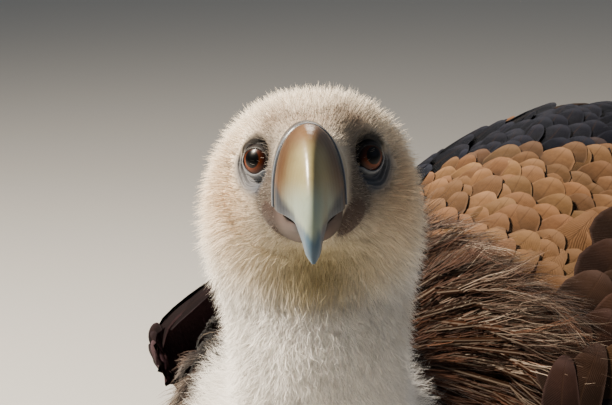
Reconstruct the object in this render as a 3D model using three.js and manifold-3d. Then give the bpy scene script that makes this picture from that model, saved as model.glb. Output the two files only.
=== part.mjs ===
// A griffon vulture at life size, standing with its wings folded and its head turned to its left.
// Millimetres, +Z up. The bird faces -Y, its left side is +X, and it stands on the floor at z = 0.
// Flesh is modelled out to the tips of its down and small feathers, and each named part is one closed solid.
import * as THREE from "three";
import { mergeVertices } from "three/addons/utils/BufferGeometryUtils.js";
import Module from "manifold-3d";

const wasm = await Module();
wasm.setup();

// ---- Driving dimensions ----
const GAP = 0.4; // clearance left between pieces that touch
const EYES_AT = [98, -295, 582]; // midpoint between the eyes
const HEAD_YAW = 38.4; // degrees that the bill turns from -Y towards +X
const HEAD_PITCH = 13.8; // degrees that the bill is raised
const HEAD_ROLL = 2.2; // degrees that the left eye is raised over the right
const EYE_RADIUS = 9.5;
const EYE_SPREAD = 18.6; // from the head's middle plane to each eyeball's centre
const EYE_BACK = 4; // how far each eyeball's centre lies behind the midpoint
const GAZE = 38; // degrees that each eye looks out from straight ahead
const LID_HALF = 6.2; // half the opening between the lids
const LID_FLARE = 0.45; // how fast the opening widens outward
const FOOT_SPREAD = 82; // from the middle plane to each leg
const FOOT_AT = 32; // y of the middle of each foot

const RAD = Math.PI / 180;

// ---- Curves and closed surfaces ----

// The row of numbers at place t of a table, on a Catmull-Rom curve through its rows.
function between(rows, t) {
  const first = Math.min(Math.max(Math.floor(t), 0), rows.length - 2);
  const f = t - first;
  const near = (k) => rows[Math.min(Math.max(first + k, 0), rows.length - 1)];
  const [a, b, c, d] = [near(-1), near(0), near(1), near(2)];
  return b.map((_, k) => {
    const slope = c[k] - a[k];
    const bend = 2 * a[k] - 5 * b[k] + 4 * c[k] - d[k];
    const twist = 3 * (b[k] - c[k]) + d[k] - a[k];
    return b[k] + 0.5 * f * (slope + f * (bend + f * twist));
  });
}

// A superellipse's cosine or sine: a power under 1 squares the curve off.
const squared = (value, power) => Math.sign(value) * Math.abs(value) ** power;

const smooth = THREE.MathUtils.smoothstep;

// A closed solid from surface(turn, way, spread): turn runs once round, way runs 0 to 1 along, and
// spread is 0 at the middle of each end cap and 1 elsewhere.
function solidFrom(surface, around, along) {
  const geometry = new THREE.SphereGeometry(1, around, along + 2);
  const { position, uv } = geometry.attributes;
  for (let i = 0; i < position.count; i += 1) {
    const ring = Math.round((1 - uv.getY(i)) * (along + 2)) - 1;
    const way = THREE.MathUtils.clamp(ring / along, 0, 1);
    const spread = ring < 0 || ring > along ? 0 : 1;
    const p = surface(uv.getX(i) % 1, way, spread);
    position.setXYZ(i, p.x, p.y, p.z);
  }
  return toSolid(geometry);
}

// A geometry whose vertices are merged, as a solid with its faces pointing out.
function toSolid(geometry) {
  geometry.deleteAttribute("normal");
  geometry.deleteAttribute("uv");
  const merged = mergeVertices(geometry, 1e-3);
  const triVerts = new Uint32Array(merged.index.array);
  const vertProperties = merged.attributes.position.array;
  const made = new wasm.Manifold(new wasm.Mesh({ numProp: 3, vertProperties, triVerts }));
  if (made.volume() > 0) return made;
  for (let i = 0; i < triVerts.length; i += 3) {
    [triVerts[i + 1], triVerts[i + 2]] = [triVerts[i + 2], triVerts[i + 1]];
  }
  return new wasm.Manifold(new wasm.Mesh({ numProp: 3, vertProperties, triVerts }));
}

// How far an end of a stretch is moved along it when the stretch is grown.
const pastEnd = (way, grow) => (way === 0 ? -grow : way === 1 ? grow : 0);

// The largest piece of a solid, after cuts that may leave slivers.
function largest(solid) {
  return solid.decompose().sort((a, b) => b.volume() - a.volume())[0];
}

// A limb or claw: rows of [x, y, z, half width, half depth], with the width across the given direction.
function limb(rows, widthAlong, { around = 12, along = 10, grow = 0 } = {}) {
  const across = new THREE.Vector3(...widthAlong).normalize();
  const last = rows.length - 1;
  return solidFrom((turn, way, spread) => {
    const t = way * last;
    const [x, y, z, wide, deep] = between(rows, t);
    const ahead = new THREE.Vector3(...between(rows, Math.min(t + 0.05, last)));
    const tangent = ahead.sub(new THREE.Vector3(...between(rows, Math.max(t - 0.05, 0)))).normalize();
    const depth = new THREE.Vector3().crossVectors(tangent, across).normalize();
    const width = new THREE.Vector3().crossVectors(depth, tangent);
    const angle = turn * 2 * Math.PI;
    return new THREE.Vector3(x, y, z)
      .addScaledVector(width, spread * (wide + grow) * Math.cos(angle))
      .addScaledVector(depth, spread * (deep + grow) * Math.sin(angle))
      .addScaledVector(tangent, pastEnd(way, grow));
  }, around, along);
}

// ---- The head's own frame: lateral (its left), forward along the bill, and up ----
const headLeft = new THREE.Vector3(
  Math.cos(HEAD_YAW * RAD),
  Math.sin(HEAD_YAW * RAD),
  Math.tan(HEAD_ROLL * RAD),
);
const headForward = new THREE.Vector3(
  Math.sin(HEAD_YAW * RAD) * Math.cos(HEAD_PITCH * RAD),
  -Math.cos(HEAD_YAW * RAD) * Math.cos(HEAD_PITCH * RAD),
  Math.sin(HEAD_PITCH * RAD),
);
headLeft.addScaledVector(headForward, -headLeft.dot(headForward)).normalize();
const headUp = new THREE.Vector3().crossVectors(headForward, headLeft);
const eyesAt = new THREE.Vector3(...EYES_AT);

function fromHead(lateral, forward, up) {
  return eyesAt
    .clone()
    .addScaledVector(headLeft, lateral)
    .addScaledVector(headForward, forward)
    .addScaledVector(headUp, up);
}

// A point in the head's frame. The head is the same on both sides, so its lateral distance is made positive.
function inHead(point) {
  const d = point.clone().sub(eyesAt);
  return new THREE.Vector3(Math.abs(d.dot(headLeft)), d.dot(headForward), d.dot(headUp));
}

// ---- Trunk, neck and head: one surface from the root of the tail to the root of the bill ----
// Rows of [x, y, z, yaw, half width, height above, depth below, depth of the coat, squareness].
const TRUNK_AND_NECK = [
  [0, 300, 402, 0, 34, 24, 18, 6, 1],
  [0, 262, 407, 0, 50, 56, 36, 10, 1],
  [0, 205, 404, 0, 74, 100, 60, 13, 1],
  [0, 130, 395, 0, 102, 118, 91, 14, 1],
  [0, 45, 387, 0, 120, 105, 113, 14, 1],
  [0, -40, 384, 0, 122, 85, 120, 14, 1],
  [0, -105, 385, 1, 104, 74, 112, 15, 1],
  [2, -152, 390, 5, 78, 68, 88, 16, 1],
  [16, -188, 400, 13, 56, 54, 60, 15, 1],
  [37, -217, 417, 22, 42, 40, 44, 13, 1],
  [57, -240, 440, 30, 35, 33, 36, 12, 1],
  [72, -258, 467, 36, 31.5, 29.5, 32, 11.5, 1],
];
// The head's rows: [lateral, forward, up, half width, height above, depth below, depth of down, squareness].
const HEAD = [
  [-1, -52, -76, 31.5, 29, 32.5, 11.5, 1],
  [-1.5, -50.5, -55, 34, 31, 32.5, 12.5, 0.98],
  [-2, -43.5, -37, 36.5, 34, 32, 13.5, 0.95],
  [-1.5, -30, -20.5, 37, 35.5, 31, 12.5, 0.9],
  [0, -13, -10.5, 33.5, 34, 29, 9, 0.86],
  [0, 3, -7.5, 25.5, 27.5, 28, 4.5, 0.88],
  [0, 17, -8, 20, 22.5, 25, 2.2, 0.9],
  [0, 29, -8.5, 16, 20, 23.5, 1.2, 0.92],
  [0, 37, -8.5, 13, 18, 21, 1, 0.92],
];
const HEAD_IN_PLACE = HEAD.map(([lateral, forward, up, ...sizes]) => {
  return [...fromHead(lateral, forward, up).toArray(), HEAD_YAW, ...sizes];
});
const BODY = [...TRUNK_AND_NECK, ...HEAD_IN_PLACE];
const HEAD_CUT = TRUNK_AND_NECK.length + 0.55; // place where the head meets the neck
const NECK_CUT = 9.6; // place where the upper neck meets the lower neck
const TRUNK_CUT = 7.4; // place where the lower neck meets the trunk
const THIN_CUT = 0.02; // gap between stretches, in places of the table

// Swellings and hollows of the face: [lateral, forward, up, radius, height].
const FACE = [
  [26, 1, 11, 8, 2.6], // brow
  [17.5, 17, 1, 9, -3.2], // hollow before the eye
  [23, 22, -22, 9, 2.2], // fleshy corner of the gape
  [26, 6, -12, 8, -0.8], // pouch under the eye
];
const EYE_CLEAR = [8, 24]; // the down starts to cover the face this far from the eye, and is full here

// The direction of the spine and the bird's own left and back at a place of the table.
function spineFrame(place) {
  const middle = THREE.MathUtils.clamp(place, 0.02, BODY.length - 1.02);
  const ahead = new THREE.Vector3(...between(BODY, middle + 0.02));
  const behind = new THREE.Vector3(...between(BODY, middle - 0.02));
  const tangent = ahead.sub(behind).normalize();
  const yaw = between(BODY, place)[3] * RAD;
  const roll = Math.tan(HEAD_ROLL * RAD) * (yaw / (HEAD_YAW * RAD));
  const level = new THREE.Vector3(Math.cos(yaw), Math.sin(yaw), roll);
  const back = new THREE.Vector3().crossVectors(tangent, level).normalize();
  return { tangent, back, left: new THREE.Vector3().crossVectors(back, tangent) };
}

// A point of the coat's outline: turn 0 is the bird's left and a quarter turn is its back. The outline is
// the skin, moved out by the face's swellings, the depth of the coat (thinner round the eyes) and grow.
function bodyPoint(turn, place, spread, grow) {
  const [x, y, z, , wide, above, below, coat, power] = between(BODY, place);
  const { left, back } = spineFrame(place);
  const angle = turn * 2 * Math.PI;
  const across = squared(Math.cos(angle), power);
  const upward = squared(Math.sin(angle), power);
  const tall = upward > 0 ? above : below;
  const centre = new THREE.Vector3(x, y, z);
  if (!spread) return centre;
  const skin = centre.addScaledVector(left, wide * across).addScaledVector(back, tall * upward);
  const outward = left.clone().multiplyScalar(across / wide).addScaledVector(back, upward / tall);
  outward.normalize();
  const inFace = inHead(skin);
  let swelling = 0;
  for (const [lateral, forward, up, radius, height] of FACE) {
    const away = inFace.distanceTo(new THREE.Vector3(lateral, forward, up)) / radius;
    swelling += height * Math.exp(-away * away);
  }
  const fromEye = inFace.distanceTo(new THREE.Vector3(EYE_SPREAD + 6, 4, 0));
  const covered = 0.1 + 0.9 * smooth(fromEye, ...EYE_CLEAR);
  return skin.addScaledVector(outward, swelling + coat * covered + grow);
}

// Stretches of the body: [from, to, sides, rings].
const TRUNK = [0, TRUNK_CUT - THIN_CUT, 22, 11];
const NECK_LOWER = [TRUNK_CUT, NECK_CUT - THIN_CUT, 24, 4];
const NECK_UPPER = [NECK_CUT, HEAD_CUT - THIN_CUT, 24, 4];
const HEAD_STRETCH = [HEAD_CUT, BODY.length - 1, 24, 13];

// A stretch as a solid, or with grow as a cutter that clears it by that much.
function bodyStretch([from, to, sides, rings], grow = 0) {
  return solidFrom((turn, way, spread) => {
    const at = from + (to - from) * way;
    return bodyPoint(turn, at, spread, grow).addScaledVector(spineFrame(at).tangent, pastEnd(way, grow));
  }, sides, rings);
}

const trunkGrown = bodyStretch(TRUNK, GAP);
const headGrown = bodyStretch(HEAD_STRETCH, GAP * 2);

// ---- Bill: the cere and the horn of the upper bill, and the lower bill ----
// Rows of [forward and up on the ridge, forward and up on the cutting edge, half width], in the head's frame.
const UPPER_BILL = [
  [30, 14.2, 30, -15.5, 14.1],
  [41, 12.9, 41, -16.4, 13.8],
  [51, 12.2, 51, -17.4, 13.2],
  [60, 11.6, 59.5, -18.8, 12],
  [70, 7.8, 67, -20.4, 8.6],
  [79, 0.6, 73, -22.4, 5.9],
  [85.3, -9, 78, -25.6, 4.6],
  [88, -19, 82, -29.4, 3.4],
  [87.6, -28.5, 84.4, -33.2, 2.4],
  [86, -36, 85.8, -36.2, 0.5],
];
const LOWER_BILL = [
  [25, -18.6, 25, -32.5, 14],
  [38, -19, 38, -31.8, 12.4],
  [51, -20.2, 50, -30.4, 10.2],
  [62, -22, 60, -29, 7.8],
  [69, -23.6, 67.5, -27.6, 5.4],
  [72.6, -25, 72.4, -26.2, 1.6],
];
const CERE_END = 2; // row of UPPER_BILL where the cere ends and the horn starts
const BILL_SWING = 0.0452; // slope of the bill's own middle line towards the bird's left
const SWING_FROM = 64.8; // how far forward the bill's middle line crosses the head's
const ROOT_ROWS = 3; // rows of a bill that reach into the head
const UPPER = { arch: 1, floor: -0.05, rise: 0.79, spread: 1 };
const LOWER = { arch: -1, floor: -0.04, rise: 0.86, spread: 0.86 };

// A stretch of the bill between two rows: a dome from edge to edge, closed by a nearly flat floor.
// rise and spread are the powers of the dome's sine and cosine, and arch is -1 where the dome hangs down.
function billStretch(rows, from, to, around, along, { arch, floor, rise, spread: width, grow = 0 }) {
  const middle = 0.4; // share of the section's height where its end caps come together
  return solidFrom((turn, way, spread) => {
    const t = from + (to - from) * way;
    const [ridgeForward, ridgeUp, edgeForward, edgeUp, half] = between(rows, t);
    const angle = turn * 2 * Math.PI;
    const high = Math.max(Math.sin(angle), 0) ** rise;
    const low = Math.max(-Math.sin(angle), 0);
    const share = spread * (arch > 0 ? high + floor * low : 1 - high - floor * low) + (1 - spread) * middle;
    const tall = Math.hypot(ridgeForward - edgeForward, ridgeUp - edgeUp) || 1;
    const grownShare = share + (spread * grow * Math.sign(share - middle)) / tall;
    const forward = edgeForward + (ridgeForward - edgeForward) * grownShare + pastEnd(way, grow);
    const across = spread * (half + grow) * squared(Math.cos(angle), width);
    const lateral = across + BILL_SWING * (forward - SWING_FROM);
    return fromHead(lateral, forward, edgeUp + (ridgeUp - edgeUp) * grownShare);
  }, around, along);
}
const cere = billStretch(UPPER_BILL, 0, CERE_END - 0.04, 18, 3, UPPER);
const horn = billStretch(UPPER_BILL, CERE_END, UPPER_BILL.length - 1, 18, 9, UPPER);
const billLower = billStretch(LOWER_BILL, 0, LOWER_BILL.length - 1, 14, 6, LOWER);
const upperGrown = billStretch(UPPER_BILL, 0, ROOT_ROWS, 18, 3, { ...UPPER, grow: GAP });
const lowerGrown = billStretch(LOWER_BILL, 0, ROOT_ROWS, 14, 3, { ...LOWER, grow: GAP });

// ---- Eyes ----
function eyeball(side, grow) {
  const geometry = new THREE.SphereGeometry(EYE_RADIUS + grow, 12, 8);
  const centre = fromHead(side * EYE_SPREAD, -EYE_BACK, 0);
  return toSolid(geometry.translate(centre.x, centre.y, centre.z));
}
// The opening of the lids: a cone about the line of gaze, as wide as the opening where it meets the eyeball.
function lidOpening(side) {
  const height = (LID_HALF * 2) / LID_FLARE;
  const geometry = new THREE.ConeGeometry(LID_HALF * 2, height, 16).rotateX(-Math.PI / 2);
  const gaze = fromHead(side * Math.sin(GAZE * RAD), Math.cos(GAZE * RAD), 0.03).sub(eyesAt).normalize();
  geometry.applyQuaternion(new THREE.Quaternion().setFromUnitVectors(new THREE.Vector3(0, 0, 1), gaze));
  const rimDistance = Math.sqrt(EYE_RADIUS ** 2 - LID_HALF ** 2);
  const at = fromHead(side * EYE_SPREAD, -EYE_BACK, 0).addScaledVector(gaze, rimDistance);
  return toSolid(geometry.translate(at.x, at.y, at.z));
}
let head = bodyStretch(HEAD_STRETCH).subtract(upperGrown).subtract(lowerGrown);
for (const side of [-1, 1]) head = head.subtract(eyeball(side, GAP)).subtract(lidOpening(side));
head = largest(head);

// ---- Folded wings: a thick curved shield over each flank, thinning to the wing tip over the tail ----
// Rows of [y, centre z, half width, half height, lowest angle, highest angle, thickness].
const WING = [
  [-160, 396, 140, 34, -20, 10, 8],
  [-148, 396, 161, 50, -40, 32, 26],
  [-112, 394, 169, 72, -44, 48, 38],
  [-40, 388, 169, 102, -42, 56, 42],
  [50, 386, 167, 121, -38, 63, 42],
  [130, 388, 155, 138, -35, 69, 38],
  [205, 388, 134, 137, -30, 73, 34],
  [280, 376, 104, 112, -24, 76, 24],
  [360, 352, 76, 74, -18, 72, 12],
  [435, 328, 54, 48, -10, 60, 7],
  [490, 308, 42, 36, 4, 40, 3],
];
// Stretches of a wing: [from, to, rings].
const WING_PARTS = { coverts: [0, 4.48, 7], secondaries: [4.5, 7.38, 5], primaries: [7.4, 10, 4] };
const WHOLE_WING = [0, WING.length - 1, 12];
const WING_INNER_EDGE = 0.25; // thickness at a wing's low and high edges, as a share of its full thickness

// A point of a wing: turn runs out over its outer face from the low edge to the high one, and back inside.
function wingPoint(side, turn, place, spread, grow) {
  const [y, z, wide, tall, lowest, highest, thick] = between(WING, place);
  const across = turn < 0.5 ? turn * 2 : 2 - turn * 2;
  const inner = turn < 0.5 ? 0 : 1;
  const reach = spread ? across : 0.5;
  const angle = (lowest - grow * 2 + (highest - lowest + grow * 4) * reach) * RAD;
  const bulge = WING_INNER_EDGE + (1 - WING_INNER_EDGE) * Math.sin(Math.PI * reach);
  const depth = spread ? inner * thick * bulge - grow * (1 - 2 * inner) : thick * 0.5;
  return new THREE.Vector3(
    side * (wide - depth) * Math.cos(angle),
    y,
    z + (tall - depth) * Math.sin(angle),
  );
}
function wingStretch(side, [from, to, rings], grow = 0) {
  return solidFrom((turn, way, spread) => {
    return wingPoint(side, turn, from + (to - from) * way, spread, grow);
  }, 16, rings);
}

// ---- Ruff: a collar of long narrow feathers round the root of the neck, inside the bends of the wings ----
const RUFF_ROOT = 8.1; // place on the neck where the feathers are rooted
const RUFF_TIPS = 5.95; // place over the shoulders that the tips reach
const RUFF_BREAST = 0.45; // how much shorter the collar is over the breast
const RUFF_POINTS = 16;
const RUFF_OVER = 4; // height of the collar's underside above the neck and shoulders
const RUFF_ROOT_LIFT = 9; // height of the collar's top at its root, and how much higher it swells and ends
const RUFF_SWELL = 16;
const RUFF_EDGE = 3;
const RUFF_NOTCH = 0.14; // depth of the notches between the feathers' tips, as a share of their length
// turn runs round the neck, and loop round the collar's own section, out along its top and back under it.
function ruffPoint(turn, loop) {
  const out = loop < 0.5 ? loop * 2 : 2 - loop * 2;
  const onTop = loop < 0.5 ? Math.sin(out * Math.PI * 0.5) : 0;
  const feathered = 1 - RUFF_NOTCH * out * (0.5 + 0.5 * Math.cos(turn * 2 * Math.PI * RUFF_POINTS));
  const breast = 1 - RUFF_BREAST * smooth(-Math.sin(turn * 2 * Math.PI), -0.2, 1);
  const reach = RUFF_ROOT + (RUFF_TIPS - RUFF_ROOT) * out * feathered * breast;
  const lift = RUFF_ROOT_LIFT + (RUFF_SWELL * Math.sin(out * Math.PI * 0.8) + RUFF_EDGE) * onTop;
  return bodyPoint(turn, reach, 1, onTop > 0 ? lift : RUFF_OVER);
}
function ruffSolid() {
  const geometry = new THREE.TorusGeometry(1, 0.5, 8, RUFF_POINTS * 2);
  const { position, uv } = geometry.attributes;
  for (let i = 0; i < position.count; i += 1) {
    const p = ruffPoint(uv.getX(i) % 1, uv.getY(i) % 1);
    position.setXYZ(i, p.x, p.y, p.z);
  }
  return toSolid(geometry);
}
let ruff = ruffSolid().subtract(trunkGrown);
for (const side of [-1, 1]) ruff = ruff.subtract(wingStretch(side, WING_PARTS.coverts, GAP));
ruff = largest(ruff);

// ---- Tail: an arched fan under the wing tips ----
// Rows of [y, z, half width, half thickness, drop at the sides].
const TAIL = [
  [268, 388, 40, 16, 8],
  [320, 362, 52, 11, 12],
  [385, 325, 63, 7, 15],
  [450, 286, 73, 5, 17],
  [505, 252, 76, 3.5, 18],
  [529.2, 238, 58, 2, 10],
];
function tailPoint(turn, way, spread) {
  const [y, z, wide, thick, drop] = between(TAIL, way * (TAIL.length - 1));
  const angle = turn * 2 * Math.PI;
  const across = spread * squared(Math.cos(angle), 0.8);
  const rise = spread * thick * Math.sin(angle) - drop * across * across;
  return new THREE.Vector3(wide * across, y, z + rise);
}

// ---- Legs ----
// The feathered thigh runs from inside the trunk to the heel, and the bare shank from the heel to the foot.
// Rows of [x, y behind the foot, z, half width, half depth].
const THIGH = [
  [70, -16, 332, 54, 64],
  [74, -8, 285, 53, 64],
  [78, 4, 238, 44, 54],
  [81, 20, 194, 30, 36],
  [FOOT_SPREAD, 32, 160, 19.5, 22.5],
  [FOOT_SPREAD, 37, 141, 14.5, 15.5],
];
const SHANK = [
  [FOOT_SPREAD, 41, 152, 10, 11],
  [FOOT_SPREAD, 41, 138, 12.5, 14],
  [FOOT_SPREAD, 36, 119, 10, 11.5],
  [FOOT_SPREAD, 25, 80, 9.5, 10.5],
  [FOOT_SPREAD, 13, 45, 10.5, 11],
  [FOOT_SPREAD, 5, 24, 12.5, 12.5],
  [FOOT_SPREAD, 2, 13, 11, 11],
];
const SOLE = [
  [FOOT_SPREAD, 1, 4, 11, 12],
  [FOOT_SPREAD, 1, 10, 13, 14],
  [FOOT_SPREAD, 2, 17, 11, 12],
];
// Toes: [name, degrees turned outward from straight ahead, length, thickness at the root, claw length].
const TOES = [
  ["middle", 3, 92, 10, 31],
  ["inner", -38, 66, 9.6, 32],
  ["outer", 42, 70, 9, 26],
  ["hind", 186, 42, 9, 30],
];
const TOE_LIFT = 6.3; // height of a toe's middle line, under its half thickness, so that its pads lie flat
const TOE_ARCH = 5; // how much higher a toe's middle line rises behind its pads
const TOE_STEPS = 5; // lengths that a toe or claw is worked out in
const CLAW_BACK = 1.5; // how far a claw reaches back into its toe
const CLAW_TOP = 12; // height of a claw's root
const CLAW_TIP = 1.2; // height of a claw's tip
const CLAW_SWEEP = 80; // degrees that a claw curves through

const ACROSS = [1, 0, 0];
const SHANK_SIDES = { around: 10, along: 8 };

// The rows of a left leg's part, placed at the foot and mirrored for the right leg.
const placed = (rows, side) => rows.map(([x, y, ...rest]) => [side * x, FOOT_AT + y, ...rest]);

// A point on the floor plan, so far from the foot's middle in a toe's direction.
function alongToe(side, degrees, distance, height) {
  const angle = degrees * RAD;
  return [side * (FOOT_SPREAD + Math.sin(angle) * distance), FOOT_AT - Math.cos(angle) * distance, height];
}

// The direction across a toe, over the floor.
const acrossToe = (side, degrees) => [Math.cos(degrees * RAD) * side, Math.sin(degrees * RAD), 0];

function toe(side, [, degrees, length, thick], grow = 0) {
  const knuckles = 3;
  const rows = [];
  for (let i = 0; i <= TOE_STEPS; i += 1) {
    const way = i / TOE_STEPS;
    const pad = 1 + 0.13 * Math.cos(way * knuckles * 2 * Math.PI + Math.PI) - 0.28 * way;
    const arch = TOE_LIFT + TOE_ARCH * Math.sin(Math.PI * Math.min(way * 1.2, 1)) * (1 - way) + 0.6 * way;
    const half = (thick + grow) * pad;
    rows.push([...alongToe(side, degrees, way * (length + grow), arch), half, half]);
  }
  return limb(rows, acrossToe(side, degrees), { around: 7, along: 5 });
}

function claw(side, [, degrees, length, thick, clawLength]) {
  const rows = [];
  for (let i = 0; i <= TOE_STEPS; i += 1) {
    const way = i / TOE_STEPS;
    const sweep = way * CLAW_SWEEP * RAD;
    const reach = length - CLAW_BACK + clawLength * 0.75 * Math.sin(sweep);
    const drop = (CLAW_TOP - CLAW_TIP) * (1 - Math.cos(sweep)) * 1.2;
    const height = CLAW_TOP - drop + 3 * Math.sin(way * Math.PI);
    const half = (thick * 0.56) * (1 - way) ** 0.7 + 0.35;
    rows.push([...alongToe(side, degrees, reach, Math.max(height, CLAW_TIP + half)), half * 0.85, half]);
  }
  return limb(rows, acrossToe(side, degrees), { around: 6, along: 4 });
}

// Everything below the floor, taken off the toes' pads.
function belowFloor() {
  const depth = 60;
  const geometry = new THREE.BoxGeometry(1200, 1200, depth);
  return toSolid(geometry.translate(0, 0, -depth / 2));
}

// ---- Materials: one per kind of surface ----
const finish = (color, roughness) => new THREE.MeshStandardMaterial({ color, roughness, metalness: 0 });
const DOWN = finish(0xe9e0d2, 0.9);
const BROWN_FEATHER = finish(0x9a7350, 0.8);
const RUFF_FEATHER = finish(0x7d5a3f, 0.8);
const DARK_FEATHER = finish(0x3a2f29, 0.75);
const HORN = finish(0xc9bd9c, 0.35);
const CERE_SKIN = finish(0x3b3d45, 0.5);
const LEG_SKIN = finish(0x84807a, 0.6);
const CLAW_HORN = finish(0x2c2a2b, 0.4);
const EYE = finish(0x5a2c12, 0.1);

// ---- Assembly ----
const bird = new THREE.Group();

function place(name, solid, material) {
  const { numProp, vertProperties, triVerts } = solid.getMesh();
  if (numProp !== 3) throw new Error(name + " holds more than positions");
  const geometry = new THREE.BufferGeometry();
  geometry.setAttribute("position", new THREE.BufferAttribute(vertProperties, 3));
  geometry.setIndex(new THREE.BufferAttribute(triVerts, 1));
  geometry.computeVertexNormals();
  const mesh = new THREE.Mesh(geometry, material);
  mesh.name = name;
  bird.add(mesh);
}

place("head", head, DOWN);
place("neck_upper", largest(bodyStretch(NECK_UPPER).subtract(headGrown)), DOWN);
place("neck_lower", bodyStretch(NECK_LOWER), DOWN);
place("ruff", ruff, RUFF_FEATHER);
place("cere", cere, CERE_SKIN);
place("bill_upper", horn, HORN);
place("bill_lower", billLower, HORN);

let bodyAndWings = trunkGrown;
const floor = belowFloor();
for (const [side, label] of [[1, "left"], [-1, "right"]]) {
  place(`eye_${label}`, eyeball(side, 0), EYE);
  for (const [part, stretch] of Object.entries(WING_PARTS)) {
    const material = part === "coverts" ? BROWN_FEATHER : DARK_FEATHER;
    place(`wing_${label}_${part}`, largest(wingStretch(side, stretch).subtract(trunkGrown)), material);
  }
  const wingGrown = wingStretch(side, WHOLE_WING, GAP);
  bodyAndWings = bodyAndWings.add(wingGrown);

  const shankRows = placed(SHANK, side);
  const shankGrown = limb(shankRows, ACROSS, { ...SHANK_SIDES, grow: GAP });
  const sole = limb(placed(SOLE, side), ACROSS, { around: 10, along: 3 });
  const foot = TOES.reduce((sum, row) => sum.add(toe(side, row)), sole);
  const footGrown = TOES.reduce((sum, row) => sum.add(toe(side, row, GAP)), foot);
  place(`foot_${label}`, largest(foot.subtract(shankGrown).subtract(floor)), LEG_SKIN);
  for (const row of TOES) {
    place(`claw_${label}_${row[0]}`, largest(claw(side, row).subtract(footGrown)), CLAW_HORN);
  }
  place(`shank_${label}`, limb(shankRows, ACROSS, SHANK_SIDES), LEG_SKIN);
  const thigh = limb(placed(THIGH, side), ACROSS, { around: 16, along: 8 });
  const thighCut = thigh.subtract(trunkGrown).subtract(wingGrown).subtract(shankGrown);
  place(`thigh_${label}`, largest(thighCut), BROWN_FEATHER);
}
const tail = solidFrom(tailPoint, 16, 8);
place("tail", largest(tail.subtract(bodyAndWings)), DARK_FEATHER);
place("trunk", bodyStretch(TRUNK), BROWN_FEATHER);

// The origin is moved to the floor under the middle of the bird's box.
const box = new THREE.Box3().setFromObject(bird);
const middle = box.getCenter(new THREE.Vector3());
bird.position.set(-middle.x, -middle.y, -box.min.z);

export default bird;
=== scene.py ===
import math

import bpy
import numpy as np
from mathutils import Matrix, Vector


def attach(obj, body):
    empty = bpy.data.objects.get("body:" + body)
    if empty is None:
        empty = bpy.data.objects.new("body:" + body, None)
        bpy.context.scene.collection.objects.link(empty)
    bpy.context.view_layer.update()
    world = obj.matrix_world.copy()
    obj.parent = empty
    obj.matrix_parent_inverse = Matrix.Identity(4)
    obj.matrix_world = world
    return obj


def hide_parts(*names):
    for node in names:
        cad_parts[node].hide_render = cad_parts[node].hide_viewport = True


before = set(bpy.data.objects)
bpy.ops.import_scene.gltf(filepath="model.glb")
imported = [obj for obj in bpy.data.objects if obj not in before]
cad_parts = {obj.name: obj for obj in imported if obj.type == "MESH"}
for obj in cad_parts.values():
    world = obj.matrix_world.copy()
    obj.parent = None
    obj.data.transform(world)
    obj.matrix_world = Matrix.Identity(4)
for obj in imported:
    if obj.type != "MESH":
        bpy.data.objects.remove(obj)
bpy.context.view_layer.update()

# ---- Studio -----------------------------------------------------------------------------------------------
# A pale floor under a pale sky, a warm soft key lamp up on the bird's right, a wide cool fill lamp on its
# left and a small lamp high behind it. The camera stands a little above the bird's eyes, before its bill.
scene = bpy.context.scene
CAMERA_AT = (0.4273, -0.7732, 0.7056)
CAMERA_RIGHT = (0.7660, 0.6428, 0.0)
CAMERA_UP = (-0.1707, 0.2034, 0.9641)
CAMERA_BACK = (0.6197, -0.7385, 0.2656)
LENS, SENSOR = 77.94, 36.0  # mm

camera = bpy.data.objects.new("camera", bpy.data.cameras.new("camera"))
camera.data.lens = LENS
camera.data.sensor_width = SENSOR
axes = Matrix((CAMERA_RIGHT, CAMERA_UP, CAMERA_BACK)).transposed().to_4x4()
camera.matrix_world = Matrix.Translation(CAMERA_AT) @ axes
scene.collection.objects.link(camera)
scene.camera = camera


class Shade:
    """A shader socket in a sum: + - * and abs() add Math nodes, and add() adds any other node."""

    def __init__(self, tree, socket=None):
        self.tree, self.socket = tree, socket

    def add(self, kind, sockets=None, output=0, **settings):
        """A node of a type: its settings first, then the values or links of its sockets."""
        node = self.tree.nodes.new(kind)
        for name, value in settings.items():
            setattr(node, name, value)
        for name, value in (sockets or {}).items():
            if isinstance(value, Shade):
                self.tree.links.new(value.socket, node.inputs[name])
            else:
                node.inputs[name].default_value = value
        return Shade(self.tree, node.outputs[output] if node.outputs else None)

    def sum(self, operation, first, second):
        return self.add("ShaderNodeMath", {0: first, 1: second}, operation=operation)

    def __add__(self, other):
        return self.sum("ADD", self, other)

    def __mul__(self, other):
        return self.sum("MULTIPLY", self, other)

    def __sub__(self, other):
        return self.sum("SUBTRACT", self, other)

    def __rsub__(self, other):
        return self.sum("SUBTRACT", other, self)

    def __abs__(self):
        return self.sum("ABSOLUTE", self, 0.0)

    __radd__ = __add__
    __rmul__ = __mul__

    def within(self, low, high):
        """A mask that rises smoothly from 0 at low to 1 at high."""
        spread = {"Value": self, "From Min": low, "From Max": high}
        return self.add("ShaderNodeMapRange", spread, interpolation_type="SMOOTHSTEP")

    def mix(self, first, second):
        """A colour that goes from first to second as this mask goes from 0 to 1."""
        sockets = {"Factor": self, 6: first, 7: second}
        return self.add("ShaderNodeMix", sockets, output=2, data_type="RGBA")

    def noise(self, scale, detail, **more):
        """Noise over this place, with about scale waves to the metre."""
        return self.add("ShaderNodeTexNoise", {"Vector": self, "Scale": scale, "Detail": detail, **more})

    def bump(self, strength, distance):
        """The normal of a surface with this height, in units of distance."""
        return self.add("ShaderNodeBump", {"Height": self, "Strength": strength, "Distance": distance})


def linear(colour):
    """A six-figure sRGB colour as linear numbers."""
    shares = np.array([colour >> 16 & 255, colour >> 8 & 255, colour & 255]) / 255
    return np.where(shares > 0.04045, ((shares + 0.055) / 1.055) ** 2.4, shares / 12.92)


def opaque(colour):
    return (*linear(colour), 1.0)


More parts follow.
